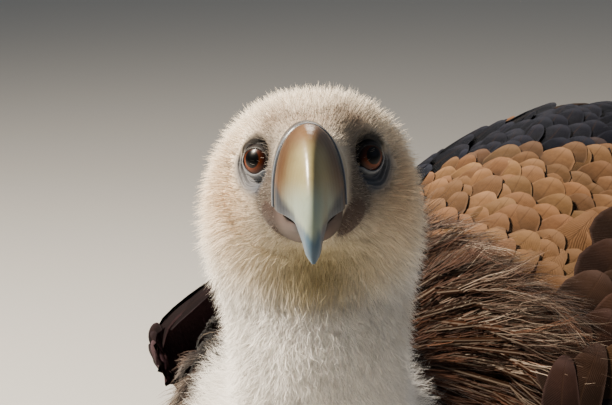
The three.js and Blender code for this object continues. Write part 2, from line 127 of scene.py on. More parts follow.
def new_finish(name):
    """A new material and the start of its shader sum."""
    material = bpy.data.materials.new(name)
    material.use_nodes = True
    material.node_tree.nodes.clear()
    return material, Shade(material.node_tree)


def close(start, sockets):
    """Ends a material with one Principled surface."""
    surface = start.add("ShaderNodeBsdfPrincipled", sockets)
    start.add("ShaderNodeOutputMaterial", {"Surface": surface})


def piece(name, points, quads, material, slot=None, replaces=(), colours=None, unwraps=None):
    """A mesh of four-sided faces that rides on the bird, with colours at its points and UV maps."""
    mesh = bpy.data.meshes.new(name)
    mesh.vertices.add(len(points))
    mesh.vertices.foreach_set("co", np.asarray(points, np.float32).ravel())
    corners = np.asarray(quads, np.int32)
    mesh.loops.add(corners.size)
    mesh.loops.foreach_set("vertex_index", corners.ravel())
    mesh.polygons.add(len(corners))
    mesh.polygons.foreach_set("loop_start", np.arange(0, corners.size, 4, dtype=np.int32))
    mesh.update(calc_edges=True)
    mesh.polygons.foreach_set("use_smooth", np.ones(len(corners), bool))
    if colours is not None:
        layer = mesh.color_attributes.new("Marking", "FLOAT_COLOR", "POINT")
        layer.data.foreach_set("color", np.c_[colours, np.ones(len(points))].astype(np.float32).ravel())
    for label, flat in (unwraps or {}).items():
        layer = mesh.uv_layers.new(name=label)
        layer.data.foreach_set("uv", np.asarray(flat, np.float32)[corners.ravel()].ravel())
    mesh.materials.append(material)
    made = bpy.data.objects.new(name, mesh)
    scene.collection.objects.link(made)
    if slot:
        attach(made, "root")
        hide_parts(*replaces)
    return made


FLOOR_HALF = 60.0
FLOOR_PALE, SKY_PALE, SKY_STRENGTH = 0xD5D3CE, 0xE3EAF2, 0.17
floor_finish, start = new_finish("studio_floor")
close(start, {"Base Color": opaque(FLOOR_PALE), "Roughness": 0.85})
corner = np.array([[-1, -1, 0], [1, -1, 0], [1, 1, 0], [-1, 1, 0]]) * FLOOR_HALF
piece("floor", corner, [[0, 1, 2, 3]], floor_finish)

world = bpy.data.worlds.new("studio")
world.use_nodes = True
sky = world.node_tree.nodes["Background"].inputs
sky["Color"].default_value = opaque(SKY_PALE)
sky["Strength"].default_value = SKY_STRENGTH
scene.world = world
# Each lamp: name, metres right, up and back from the bird's face as the camera sees it, size, watts, colour.
LAMPS = (
    ("key_lamp", -1.42, 1.42, 0.30, 0.42, 190.0, 0xFFF1DE),
    ("fill_lamp", 2.00, 0.90, 0.90, 2.00, 3.0, 0xC8DAFF),
    ("rim_lamp", 0.10, 1.20, -1.20, 0.60, 8.0, 0xFFF6EA),
)
FACE_AT = (0.098, -0.3764, 0.56)
for name, right, up, back, size, watts, colour in LAMPS:
    lamp = bpy.data.objects.new(name, bpy.data.lights.new(name, "AREA"))
    lamp.data.size = size
    lamp.data.energy = watts
    lamp.data.color = linear(colour)
    away = Vector(CAMERA_RIGHT) * right + Vector(CAMERA_UP) * up + Vector(CAMERA_BACK) * back
    turned = away.to_track_quat("Z", "Y").to_matrix().to_4x4()
    lamp.matrix_world = Matrix.Translation(Vector(FACE_AT) + away) @ turned
    scene.collection.objects.link(lamp)

# ---- Skin -------------------------------------------------------------------------------------------------
# One thin loose skin runs from the rump over the trunk and neck to the root of the bill. It is cream under
# white down on head and neck, brown under the body's feathers, and bare and wrinkled round eyes and mouth.
# Each row: x, y, z of the spine, yaw in degrees, half width, height above, depth below, coat's depth and the
# power of the section's superellipse.
TRUNK_AND_NECK = np.array((
    (0, 0.21857, 0.402, 0, 0.034, 0.024, 0.018, 0.006, 1),
    (0, 0.18057, 0.407, 0, 0.05, 0.056, 0.036, 0.01, 1),
    (0, 0.12357, 0.404, 0, 0.074, 0.1, 0.06, 0.013, 1),
    (0, 0.04857, 0.395, 0, 0.102, 0.118, 0.091, 0.014, 1),
    (0, -0.03643, 0.387, 0, 0.12, 0.105, 0.113, 0.014, 1),
    (0, -0.12143, 0.384, 0, 0.122, 0.085, 0.12, 0.014, 1),
    (0, -0.18643, 0.385, 1, 0.104, 0.074, 0.112, 0.015, 1),
    (0.002, -0.23343, 0.39, 5, 0.078, 0.068, 0.088, 0.016, 1),
    (0.016, -0.26943, 0.4, 13, 0.056, 0.054, 0.06, 0.015, 1),
    (0.037, -0.29843, 0.417, 22, 0.042, 0.04, 0.044, 0.013, 1),
    (0.057, -0.32143, 0.44, 30, 0.035, 0.033, 0.036, 0.012, 1),
    (0.072, -0.33943, 0.467, 36, 0.0315, 0.0295, 0.032, 0.0115, 1),
))
# The head's rows: sideways, forward and up from the point between the eyes, then the same sizes.
HEAD = np.array((
    (-0.001, -0.052, -0.076, 0.0315, 0.029, 0.0325, 0.0115, 1),
    (-0.0015, -0.0505, -0.055, 0.034, 0.031, 0.0325, 0.0125, 0.98),
    (-0.002, -0.0435, -0.037, 0.0365, 0.034, 0.032, 0.0135, 0.95),
    (-0.0015, -0.03, -0.0205, 0.037, 0.0355, 0.031, 0.0125, 0.9),
    (0, -0.013, -0.0105, 0.0335, 0.034, 0.029, 0.009, 0.86),
    (0, 0.003, -0.0075, 0.0255, 0.0275, 0.028, 0.0045, 0.88),
    (0, 0.017, -0.008, 0.02, 0.0225, 0.025, 0.0022, 0.9),
    (0, 0.029, -0.0085, 0.016, 0.02, 0.0235, 0.0012, 0.92),
    (0, 0.037, -0.0085, 0.013, 0.018, 0.021, 0.001, 0.92),
))
EYES_AT = np.array((0.098, -0.37643, 0.582))  # the point between the eyes
HEAD_YAW, HEAD_PITCH, HEAD_ROLL = np.radians((38.4, 13.8, 2.2))
# Swellings of the face: sideways, forward, up, radius, height.
FACE = (
    (0.026, 0.001, 0.011, 0.008, 0.0026),  # brow
    (0.0175, 0.017, 0.001, 0.009, -0.0032),  # hollow before the eye
    (0.023, 0.022, -0.022, 0.009, 0.0022),  # fleshy corner of the gape
    (0.026, 0.006, -0.012, 0.008, -0.0008),  # pouch under the eye
)
SKIN_SHARE = 0.42  # how far out through the depth of the coat the skin lies
SKIN_COLUMNS = 288
SPINE_STEP = 0.02  # places to each side over which the spine's direction is taken


def grid_quads(rows, columns, wrap):
    """Faces of a grid of points, rows by columns, whose last column meets the first where wrap is true."""
    first = np.arange(rows - 1)[:, None] * columns
    near = np.arange(columns if wrap else columns - 1)[None, :]
    far = (near + 1) % columns
    corners = (first + near, first + far, first + columns + far, first + columns + near)
    return np.stack(corners, -1).reshape(-1, 4)


def loops(places, columns):
    """Turns and places of a grid with a row at each place, and a full turn of columns points in each row."""
    return np.meshgrid(np.arange(columns) / columns, places)


def unit(vectors):
    return vectors / np.linalg.norm(vectors, axis=-1, keepdims=True)


def smooth(values, low, high):
    """0 below low, 1 above high and a smooth 3t^2 - 2t^3 between."""
    t = np.clip((values - low) / (high - low), 0, 1)
    return t * t * (3 - 2 * t)


def between(rows, places):
    """The rows of a table at fractional places, on a Catmull-Rom curve through them with its ends held."""
    places = np.asarray(places, float)
    first = np.clip(np.floor(places).astype(int), 0, len(rows) - 2)
    f = (places - first)[..., None]
    a, b, c, d = (rows[np.clip(first + k, 0, len(rows) - 1)] for k in (-1, 0, 1, 2))
    return b + 0.5 * f * (c - a + f * (2 * a - 5 * b + 4 * c - d + f * (3 * (b - c) + d - a)))


def squared(values, power):
    """A superellipse's cosine or sine: the sign times the size to a power, which under 1 squares it off."""
    return np.sign(values) * np.abs(values) ** power


FORWARD = np.array((
    math.sin(HEAD_YAW) * math.cos(HEAD_PITCH),
    -math.cos(HEAD_YAW) * math.cos(HEAD_PITCH),
    math.sin(HEAD_PITCH),
))
LEFT = np.array((math.cos(HEAD_YAW), math.sin(HEAD_YAW), math.tan(HEAD_ROLL)))
LEFT = unit(LEFT - FORWARD * (LEFT @ FORWARD))
UP = np.cross(FORWARD, LEFT)


def from_head(places):
    """Points from their sideways, forward and up distances in the head."""
    return EYES_AT + np.asarray(places) @ np.array((LEFT, FORWARD, UP))


def in_head(points):
    """Sideways, forward and up distances of points in the head, sideways the same on both sides."""
    away = (points - EYES_AT) @ np.array((LEFT, FORWARD, UP)).T
    return np.stack([np.abs(away[..., 0]), away[..., 1], away[..., 2]], -1)


head_rows = np.c_[from_head(HEAD[:, :3]), np.full(len(HEAD), math.degrees(HEAD_YAW)), HEAD[:, 3:]]
BODY = np.r_[TRUNK_AND_NECK, head_rows]
BODY_END = len(BODY) - 1
EYE_SPREAD, EYE_BACK, EYE_RADIUS = 0.0186, 0.004, 0.0095


def coat_share(face):
    """Share of the coat's depth at points in the head: a tenth round the eyes, rising to all of it."""
    from_eye = np.linalg.norm(face - (EYE_SPREAD + 0.006, 0.004, 0), axis=-1)
    return 0.1 + 0.9 * smooth(from_eye, 0.008, 0.024)


def body_surface(turns, places, lift=0.0, share=SKIN_SHARE):
    """Points on the bird from the rump at place 0 to the bill, and their outward directions.

    A quarter turn is the back and 0 its left. Each section is a superellipse square to the spine, swollen by
    the face's bumps, and moved out by lift and by a share of the coat's depth, which thins near the eyes.
    """
    row = between(BODY, places)
    yaw, wide, above, below, depth, power = np.moveaxis(row[..., 3:], -1, 0)
    middle = np.clip(places, SPINE_STEP, BODY_END - SPINE_STEP)
    tangent = unit(between(BODY, middle + SPINE_STEP)[..., :3] - between(BODY, middle - SPINE_STEP)[..., :3])
    yaw = np.radians(yaw)
    level = np.stack([np.cos(yaw), np.sin(yaw), math.tan(HEAD_ROLL) * yaw / HEAD_YAW], -1)
    back = unit(np.cross(tangent, level))
    left = np.cross(back, tangent)
    angle = np.asarray(turns) * 2 * np.pi
    across = squared(np.cos(angle), power)
    upward = squared(np.sin(angle), power)
    tall = np.where(upward > 0, above, below)
    points = row[..., :3] + left * (wide * across)[..., None] + back * (tall * upward)[..., None]
    outward = unit(left * (across / wide)[..., None] + back * (upward / tall)[..., None])
    face = in_head(points)
    swelling = sum(
        height * np.exp(-(((face - (side, forward, up)) / radius) ** 2).sum(-1))
        for side, forward, up, radius, height in FACE
    )
    return points + outward * (swelling + depth * coat_share(face) * share + lift)[..., None], outward


# The gaze of the bird's left eye, and the directions across it: out towards the temple, and up.
GAZE = np.radians(38.0)
gaze = unit(np.array((math.sin(GAZE), math.cos(GAZE), 0.03)))
temple = unit(np.array((math.cos(GAZE), -math.sin(GAZE), 0.0)))
over = np.cross(temple, gaze)
eye_axes = np.array((temple, over, gaze))
eye_centre = np.array((EYE_SPREAD, -EYE_BACK, 0.0))
LID_OPEN = 0.0061  # half the width between the lids
LID_REACH = 0.0150  # how far out from the pupil the lids' folds reach
RIM_HEIGHT, CREASE_DEPTH = 0.00085, 0.0009
FOLD_SPACE, FOLD_DEPTH = 0.00175, 0.00040


def lid_edge(angles):
    """Distance from the pupil to the lids: a circle with a lowered upper lid and a drawn-out inner corner."""
    lowered = 0.34 * np.maximum(np.sin(angles + 0.20), 0) ** 1.3
    corner = 0.30 * np.exp(-((np.angle(np.exp(1j * (angles - np.radians(202)))) / 0.30) ** 2))
    return LID_OPEN * (1 - lowered + corner)


def eye_region(across, upward, base):
    """Height of the lids along the gaze over the eyeball's middle, for a face whose own height is base.

    From the edge outward: a rounded rim on the eyeball, a groove, then folds that follow the rim and die out
    into the face. The folds are deepest below and behind the eye, and the brow overhangs above.
    """
    angles = np.arctan2(upward, across)
    radius = np.hypot(across, upward)
    out = radius - lid_edge(angles)
    ball = np.sqrt(np.maximum(EYE_RADIUS**2 - np.minimum(radius, EYE_RADIUS * 0.93) ** 2, 0))
    below = smooth(-np.sin(angles - 0.25), -0.35, 0.5)
    rim = RIM_HEIGHT * (0.45 + 0.55 * below) * np.exp(-(((out - 0.0006) / 0.00075) ** 2))
    near_lid = ball + 0.0002 + rim - 0.0012 * smooth(-out, 0.0, 0.0005)
    wander = 0.00035 * np.sin(3 * angles + 1.3) + 0.0002 * np.sin(7 * angles)
    phase = (out + wander) / FOLD_SPACE * 2 * np.pi
    depth = FOLD_DEPTH * (0.25 + 0.75 * below) * smooth(out, 0.0008, 0.0022) * smooth(-out, -0.0085, -0.0045)
    crease = -CREASE_DEPTH * (1 - below) * np.exp(-(((out - 0.0024) / 0.0010) ** 2))
    crease = crease + 0.0011 * (1 - below) * np.exp(-(((out - 0.0045) / 0.0020) ** 2))
    blend = smooth(out, 0.0012, 0.0078)
    return near_lid * (1 - blend) + base * blend - depth * np.cos(phase) + crease


def base_heights(across, upward):
    """Terms of a fifth-degree surface over the plane across the gaze, in centimetres."""
    u, v = across * 100, upward * 100
    return np.stack([u**i * v**j for i in range(6) for j in range(6 - i)], -1)


skin_places = np.r_[
    np.linspace(0, 8, 56)[:-1], np.linspace(8, 12.6, 66)[:-1], np.linspace(12.6, BODY_END, 168)
]
turn_grid, place_grid = loops(skin_places, SKIN_COLUMNS)
skin_points, skin_out = body_surface(turn_grid, place_grid)
away = (skin_points - EYES_AT) @ np.array((LEFT, FORWARD, UP)).T
folded = np.stack([np.abs(away[..., 0]), away[..., 1], away[..., 2]], -1)
from_pupil = (folded - eye_centre) @ eye_axes.T
eye_distance = np.hypot(from_pupil[..., 0], from_pupil[..., 1])
facing = (np.abs(skin_out @ LEFT) * gaze[0] + skin_out @ FORWARD * gaze[1]) > 0.1
near = (eye_distance < 0.019) & facing & (from_pupil[..., 2] > 0)
# The face's own height round the eye, fitted once so that skin and lids lie on the same surface.
FACE_FIT = np.linalg.lstsq(base_heights(*from_pupil[near][:, :2].T), from_pupil[near][:, 2], rcond=None)[0]
fit = base_heights(from_pupil[..., 0], from_pupil[..., 1]) @ FACE_FIT
lids = eye_region(from_pupil[..., 0], from_pupil[..., 1], fit)
under_lids = 0.0009 * smooth(-eye_distance, -0.0147, -0.0135)
under_lids = under_lids + 0.006 * smooth(-eye_distance, -0.0085, -0.0060)
share = smooth(-eye_distance, -0.0185, -0.0150) * near
from_pupil[..., 2] = from_pupil[..., 2] * (1 - share) + (lids - under_lids) * share
folded = from_pupil @ eye_axes + eye_centre
folded[..., 0] *= np.sign(away[..., 0])
skin_points = from_head(folded)

# Markings, by part of the bird, as sRGB colours.
CROWN_DOWN, NECK_DOWN, CHEEK_DOWN, THROAT_DOWN = 0xF9EDD8, 0xF5F1EA, 0xE0B47A, 0xA08C45
LORE_DOWN, BROW_DOWN, BODY_BROWN, BARE_GAPE, RUMP_DARK = 0x2E221B, 0x7C5A3A, 0x5A3C24, 0x35231A, 0x1A1715
LID_DARK, LID_BLUE, LID_PALE = 0x0C0809, 0x3A4553, 0x8F9296
# Patches of the head: largest share, centre and sizes (sideways, forward, up) and colour.
PATCHES = (
    (0.55, (0.036, 0.000, -0.012), (0.018, 0.028, 0.020), CHEEK_DOWN),
    (0.75, (0.019, 0.008, 0.016), (0.013, 0.012, 0.008), BROW_DOWN),
    (0.70, (0.000, 0.024, 0.018), (0.020, 0.013, 0.014), BROW_DOWN),
    (0.85, (0.021, 0.016, 0.003), (0.009, 0.014, 0.014), LORE_DOWN),
    (0.90, (0.000, 0.014, -0.047), (0.024, 0.040, 0.021), THROAT_DOWN),
)
# Centres and sizes of the bristly skin before the eye and of the bare corner of the mouth.
LORES = ((0.019, 0.021, -0.012), (0.0165, 0.019, 0.020))
GAPE = ((0.0160, 0.0265, -0.0250), (0.0095, 0.015, 0.0100))


def blended(colours, share, colour):
    """Colours mixed with one more by a share at each point."""
    return colours * (1 - share[..., None]) + linear(colour) * share[..., None]


def blob(face, centre, sizes):
    """A share that falls off as a bell from a centre in the head, by a size along each direction."""
    return np.exp(-(((face - centre) / sizes) ** 2).sum(-1))


def round_eye(face):
    """Distance out from the edge of the lids, angle round the eye, and distance along the gaze."""
    across, upward, ahead = np.moveaxis((face - eye_centre) @ eye_axes.T, -1, 0)
    angle = np.arctan2(upward, across)
    return np.hypot(across, upward) - lid_edge(angle), angle, ahead


def markings(points, places):
    """Colour of skin and coat at points: brown body, white neck, cream crown, and the face's darker parts."""
    face = in_head(points)
    colours = np.broadcast_to(linear(BODY_BROWN), points.shape).copy()
    rump = smooth(points[..., 1], -0.06, 0.0) * smooth(points[..., 2], 0.39, 0.42)
    colours = blended(colours, rump, RUMP_DARK)
    colours = blended(colours, smooth(places, 7.4, 8.3), NECK_DOWN)
    colours = blended(colours, smooth(places, 13.2, 15.5), CROWN_DOWN)
    head = smooth(places, 13.0, 15.0)
    for share, centre, sizes, colour in PATCHES:
        colours = blended(colours, share * head * blob(face, centre, sizes), colour)
    colours = blended(colours, 0.95 * lores(face) * head, LORE_DOWN)
    out, angle, ahead = round_eye(face)
    front = smooth(ahead, 0.0, 0.004)
    below = smooth(-np.sin(angle - 0.30), -0.30, 0.35)
    blue = smooth(-out, -0.0125, -0.0050) * below * front
    colours = blended(colours, 0.88 * blue, LID_BLUE)
    # The blackish upper lid is partly the lid's own black skin and partly painted shadow of the brow.
    dark = smooth(-out, -0.0080, -0.0038) * (1 - below) * front
    colours = blended(colours, 0.98 * dark, LID_DARK)
    rim = np.exp(-(((out - 0.0007) / 0.0006) ** 2)) * below * front
    aside = np.angle(np.exp(1j * (angle - 0.05)))
    corner = np.exp(-(((out - 0.0018) / 0.0012) ** 2) - (aside / 0.6) ** 2) * front
    colours = blended(colours, np.maximum(0.85 * rim, 0.75 * corner), LID_PALE)
    return blended(colours, bare_gape(face), BARE_GAPE)


def lores(face):
    """1 on the dark bristly skin between eye, bill and mouth, falling to 0 where the down starts."""
    return np.minimum(1.5 * blob(face, *LORES), 1)


def bare_gape(face):
    """1 on the bare skin at the corner of the mouth, falling to 0 where the bristles start."""
    centre, sizes = GAPE
    return 1 - smooth(np.linalg.norm((face - centre) / sizes, axis=-1), 0.78, 1.08)


def marked_finish(name):
    """A new material, the start of its shader sum, its piece's marking, and the place of each point."""
    finish, start = new_finish(name)
    marking = start.add("ShaderNodeVertexColor", layer_name="Marking")
    return finish, start, marking, start.add("ShaderNodeTexCoord", output=3)


BLACK = (0, 0, 0, 1)
skin_finish, start, marking, where = marked_finish("skin")
mottle = where.noise(420.0, 6.0, Roughness=0.65)
wrinkle = where.noise(950.0, 3.0, Distortion=0.8)
close(start, {
    "Base Color": (mottle * 0.5 + 0.75).mix(BLACK, marking),
    "Roughness": 0.55 + mottle * 0.2,
    "Specular IOR Level": 0.25,
    "Normal": (mottle * 0.6 + wrinkle * 0.4).bump(0.55, 0.0006),
    "Subsurface Weight": 0.12,
    "Subsurface Radius": (0.003, 0.0015, 0.001),
    "Sheen Weight": 0.04,
})


def shell(points):
    """A closed skin from a grid of points whose columns run round: its ends are closed by fans, faces out."""
    rows, columns = points.shape[:2]
    flat = np.r_[points.reshape(-1, 3), [points[0].mean(0), points[-1].mean(0)]]
    turn = np.arange(0, columns, 2)
    turn = np.stack([turn, (turn + 1) % columns, (turn + 2) % columns])
    centre = np.full(turn.shape[1], rows * columns)
    last = (rows - 1) * columns
    quads = np.r_[
        grid_quads(rows, columns, True),
        np.stack([centre, turn[2], turn[1], turn[0]], -1),
        np.stack([centre + 1, last + turn[0], last + turn[1], last + turn[2]], -1),
    ]
    a, b, c, d = (flat[quads[:, k]] - flat[0] for k in range(4))
    volume = (np.cross(a, b) * c).sum() + (np.cross(a, c) * d).sum()
    return flat, quads if volume > 0 else quads[:, ::-1]


def with_ends(numbers):
    """A grid of numbers as a list, with each end's mean added for the centres that close a shell."""
    flat = numbers.reshape(-1, *numbers.shape[2:])
    return np.r_[flat, [numbers[0].mean(0), numbers[-1].mean(0)]]


flat_points, skin_quads = shell(skin_points)
piece(
    "skin", flat_points, skin_quads, skin_finish, "down", ("head", "neck_upper", "neck_lower", "trunk"),
    colours=markings(flat_points, with_ends(place_grid)),
    unwraps={"OFBake": with_ends(np.stack([turn_grid, place_grid / BODY_END], -1))},
)

# ---- Eyes and lids ----------------------------------------------------------------------------------------
# Each eye is a wet ball with a wide black pupil in a fibrous orange-brown iris under a clear cornea. Bare
# lids lie on it: a blackish upper lid under the brow, partly its own black skin and partly painted shadow of
# the brow, and a pale rim with blue-grey folds below and behind.
PUPIL, IRIS = np.radians((21.0, 41.0))
CORNEA_BULGE = 0.0006
IRIS_OUTER, IRIS_INNER, EYE_BLACK = 0x220A04, 0x622A0A, 0x010101
BALL_ROWS, BALL_COLUMNS, LID_ROWS, LID_COLUMNS = 90, 160, 72, 176
SIDES = {1: "left", -1: "right"}


def two_tone(first, second, share):
    """A colour that goes from the first to the second by a share at each point."""
    return linear(first) * (1 - share[..., None]) + linear(second) * share[..., None]


eye_finish, start, marking, where = marked_finish("wet_eye")
close(start, {
    "Base Color": marking,
    "Roughness": 0.30,
    "Specular IOR Level": 0.15,
    "Coat Weight": 0.15,
    "Coat Roughness": 0.02,
    "Coat IOR": 1.33,
})
lid_finish, start, marking, where = marked_finish("bare_lid_skin")
mottle = where.noise(700.0, 5.0, Roughness=0.6)
pleats = where.noise(1900.0, 2.0, Distortion=1.2)
close(start, {
    "Base Color": (mottle * 0.7 + 0.62).mix(BLACK, marking),
    "Roughness": 0.42 + mottle * 0.15,
    "Normal": (mottle * 0.5 + pleats * 0.5).bump(0.6, 0.0004),
    "Specular IOR Level": 0.3,
})

ball_turn, ball_angle = loops(np.linspace(0.004, np.pi - 0.004, BALL_ROWS), BALL_COLUMNS)
ball_turn = ball_turn * 2 * np.pi
ball_radius = EYE_RADIUS + CORNEA_BULGE * (1 - smooth(ball_angle, 0, np.radians(42)))
ball = np.stack([
    ball_radius * np.sin(ball_angle) * np.cos(ball_turn),
    ball_radius * np.sin(ball_angle) * np.sin(ball_turn),
    ball_radius * np.cos(ball_angle),
], -1)
rays = sum(np.sin(k * ball_turn + 5 * k * k + 3 * np.sin(ball_angle * k)) / 6 for k in (23, 37, 41, 59, 83))
fibre = np.clip(1.0 + 0.55 * rays, 0.4, 1.7)
brow_shade = 0.30 + 0.95 * smooth(-np.sin(ball_turn - 0.3), -0.6, 0.7)
iris = two_tone(IRIS_INNER, IRIS_OUTER, smooth(ball_angle, PUPIL, IRIS * 0.97))
iris = iris * (fibre * brow_shade)[..., None]
iris = blended(iris, smooth(ball_angle, IRIS * 0.92, IRIS * 1.02), EYE_BLACK)
iris = blended(iris, smooth(-ball_angle, -PUPIL * 1.05, -PUPIL * 0.96), EYE_BLACK)

lid_turn, lid_out = loops(np.linspace(0, 1, LID_ROWS) ** 1.3, LID_COLUMNS)
lid_turn = lid_turn * 2 * np.pi
lid_start = lid_edge(lid_turn) - 0.0006
lid_radius = lid_start + (LID_REACH - lid_start) * lid_out
lid_across, lid_up = lid_radius * np.cos(lid_turn), lid_radius * np.sin(lid_turn)
lid_fit = base_heights(lid_across, lid_up) @ FACE_FIT
lid_local = np.stack([lid_across, lid_up, eye_region(lid_across, lid_up, lid_fit) + 0.00003], -1)

for side, label in SIDES.items():
    mirror = np.array((side, 1, 1))
    ball_points, ball_quads = shell(from_head((ball @ eye_axes + eye_centre) * mirror))
    piece(
        f"eyeball_{label}", ball_points, ball_quads, eye_finish, "eye", (f"eye_{label}",),
        colours=with_ends(iris),
    )
    lid_points = from_head((lid_local @ eye_axes + eye_centre) * mirror)
    lid_quads = grid_quads(LID_ROWS, LID_COLUMNS, True)[:, ::-side]
    colours = markings(lid_points, np.full(lid_radius.shape, BODY_END))
    piece(
        f"lids_{label}", lid_points.reshape(-1, 3), lid_quads, lid_finish, "down",
        colours=colours.reshape(-1, 3),
    )

# ---- Bill -------------------------------------------------------------------------------------------------
# The hooked upper bill is horn, ivory along the ridge, tan on the flanks, slate at the cutting edge and steel
# blue at the tip. A soft blackish cere with slit nostrils wraps its root. A short lower bill fits inside.
# Each row: forward and up of the ridge, forward and up of the cutting edge, half width, in the head's frame.
UPPER_BILL = np.array((
    (0.03, 0.0142, 0.03, -0.0155, 0.0141),
    (0.041, 0.0129, 0.041, -0.0164, 0.0138),
    (0.051, 0.0122, 0.051, -0.0174, 0.0132),
    (0.06, 0.0116, 0.0595, -0.0188, 0.0120),
    (0.07, 0.0078, 0.067, -0.0204, 0.0086),
    (0.079, 0.0006, 0.073, -0.0224, 0.0059),
    (0.0853, -0.009, 0.078, -0.0256, 0.0046),
    (0.088, -0.019, 0.082, -0.0294, 0.0034),
    (0.0876, -0.0285, 0.0844, -0.0332, 0.0024),
    (0.086, -0.036, 0.0858, -0.0362, 0.0005),
))
LOWER_BILL = np.array((
    (0.025, -0.0186, 0.025, -0.0325, 0.014),
    (0.038, -0.019, 0.038, -0.0318, 0.0124),
    (0.051, -0.0202, 0.05, -0.0304, 0.0102),
    (0.062, -0.022, 0.06, -0.029, 0.0078),
    (0.069, -0.0236, 0.0675, -0.0276, 0.0054),
    (0.0726, -0.025, 0.0724, -0.0262, 0.0016),
))
CERE_END = 2.0  # row where the cere ends and the horn starts
BILL_SWING, SWING_FROM = 0.0452, 0.0648  # the bill swings this much to the bird's left, pivoting here
HORN_RIDGE, HORN_MIDDLE, HORN_LOW, HORN_TAN = 0x6E5030, 0x92885F, 0x8F9C8C, 0x543A21
HORN_SLATE, HORN_TIP = 0x282C34, 0x465E70
CERE_BLACK, CERE_SILVER, LOWER_PINK, LOWER_DARK = 0x0D0F14, 0x8C95A2, 0x4E403C, 0x332724


def bill_surface(rows, turns, places, swell=0.0, upper=True):
    """A bill in the head's frame: a dome from edge to edge over the ridge, closed by a nearly flat floor.

    Height is the sine and width the cosine, each to a power. The lower bill is a dome hung under its own flat
    top. swell pushes the sides and the ridge out.
    """
    row = between(rows, places)
    angle = turns * 2 * np.pi
    rise, spread = (0.79, 1.0) if upper else (0.86, 0.86)
    high = np.maximum(np.sin(angle), 0) ** rise
    low = np.maximum(-np.sin(angle), 0)
    share = high - 0.05 * low if upper else 1 - high + 0.04 * low
    lateral = (row[..., 4] + swell) * squared(np.cos(angle), spread)
    forward = row[..., 2] + (row[..., 0] - row[..., 2]) * share
    up = row[..., 3] + (row[..., 1] - row[..., 3]) * share + swell * high
    return np.stack([lateral + BILL_SWING * (forward - SWING_FROM), forward, up], -1)


horn_turn, horn_place = loops(np.linspace(CERE_END - 0.25, len(UPPER_BILL) - 1, 150), 144)
inset = -0.0012 * smooth(-horn_place, -2.6, -1.9)
growth = 0.00002 * np.sin(horn_place * 21 + 0.6 * np.sin(horn_turn * 12)) * smooth(-horn_place, -8.6, -7.5)
horn = bill_surface(UPPER_BILL, horn_turn, horn_place, inset + growth)
# Millimetres: the ivory band widens down the bill, and slate fills all that lies below a slanting line.
lateral = (horn[..., 0] - BILL_SWING * (horn[..., 1] - SWING_FROM)) * 1000
from_ridge = np.abs(lateral)
height = horn[..., 2] * 1000
drift = 0.5 * np.sin(horn_place * 3.1 + horn_turn * 25) + 0.3 * np.sin(horn_place * 7 - horn_turn * 41)
tan = smooth(from_ridge + 0.4 * drift, 0.8 + (8 - height) * 0.15, 7.6 + (8 - height) * 0.24)
horn_colour = two_tone(HORN_RIDGE, HORN_MIDDLE, smooth(-height, -9, 0))
horn_colour = blended(horn_colour, smooth(-height, 6, 17), HORN_LOW)
horn_colour = blended(horn_colour, tan, HORN_TAN)
horn_colour = horn_colour * (1 - 0.35 * smooth(from_ridge, 8.0, 13.0) * smooth(height, -8, 2))[..., None]
# The black of the cere runs on over the horn's upper corner on the bird's left.
corner_from = 7.0 + (12 - height) * 0.20
corner = smooth(lateral, corner_from, corner_from + 1.0) * smooth(height, -20, -6)
horn_colour = blended(horn_colour, 0.92 * corner, CERE_BLACK)
slate = smooth(-height - 29.5 + 1.6 * from_ridge + drift, -2.2, 2.4)[..., None]
steel = smooth(-height + 0.5 * drift, 18, 27)
horn_colour = horn_colour * (1 - slate) + two_tone(HORN_SLATE, HORN_TIP, steel) * slate
horn_colour = blended(horn_colour, smooth(-height + drift, 24, 31), HORN_TIP)

horn_finish, start, marking, where = marked_finish("polished_horn")
grain = where.noise(260.0, 5.0, Roughness=0.6)
flake = where.noise(1400.0, 2.0)
close(start, {
    "Base Color": (grain * 0.5 + 0.75).mix(BLACK, marking),
    "Roughness": 0.26 + grain * 0.20,
    "Normal": (grain * 0.7 + flake * 0.3).bump(0.12, 0.0004),
    "Coat Weight": 0.35,
    "Coat Roughness": 0.22,
    "Subsurface Weight": 0.10,
    "Subsurface Radius": (0.002, 0.0012, 0.0008),
})
horn_points, horn_quads = shell(from_head(horn))
piece(
    "horn_of_upper_bill", horn_points, horn_quads, horn_finish, "horn", ("bill_upper",),
    colours=with_ends(horn_colour),
)

cere_turn, cere_place = loops(np.linspace(-0.4, CERE_END, 70), 160)
lip = 0.0004 * np.exp(-(((cere_place - 1.84) / 0.12) ** 2)) - 0.0016 * smooth(cere_place, 1.92, 2.0)
cere = bill_surface(UPPER_BILL, cere_turn, np.maximum(cere_place, 0), lip)
cere[..., 1] += np.minimum(cere_place, 0) * 0.009
slit = np.exp(-(((np.abs(cere[..., 1] - 0.0425) / 0.0014) ** 2) + ((cere[..., 2] - 0.0005) / 0.0042) ** 2))
slit *= np.abs(cere[..., 0]) > 0.006
cere[..., 0] -= np.sign(cere[..., 0]) * 0.0022 * slit
silver = np.exp(-(((cere_place - 1.86) / 0.05) ** 2)) + 0.15 * np.exp(-(((cere_place - 0.9) / 0.5) ** 2))
cere_colour = two_tone(CERE_BLACK, CERE_SILVER, np.minimum(silver, 1) * 0.9)
cere_colour = cere_colour * (1 - 0.9 * slit[..., None])

cere_finish, start, marking, where = marked_finish("cere_skin")
mottle = where.noise(520.0, 5.0, Roughness=0.6)
close(start, {
    "Base Color": (mottle * 0.9 + 0.55).mix(BLACK, marking),
    "Roughness": 0.25 + mottle * 0.2,
    "Normal": mottle.bump(0.5, 0.0005),
    "Coat Weight": 0.35,
    "Coat Roughness": 0.2,
})
cere_points, cere_quads = shell(from_head(cere))
piece(
    "cere_skin", cere_points, cere_quads, cere_finish, "cere_skin", ("cere",), colours=with_ends(cere_colour)
)

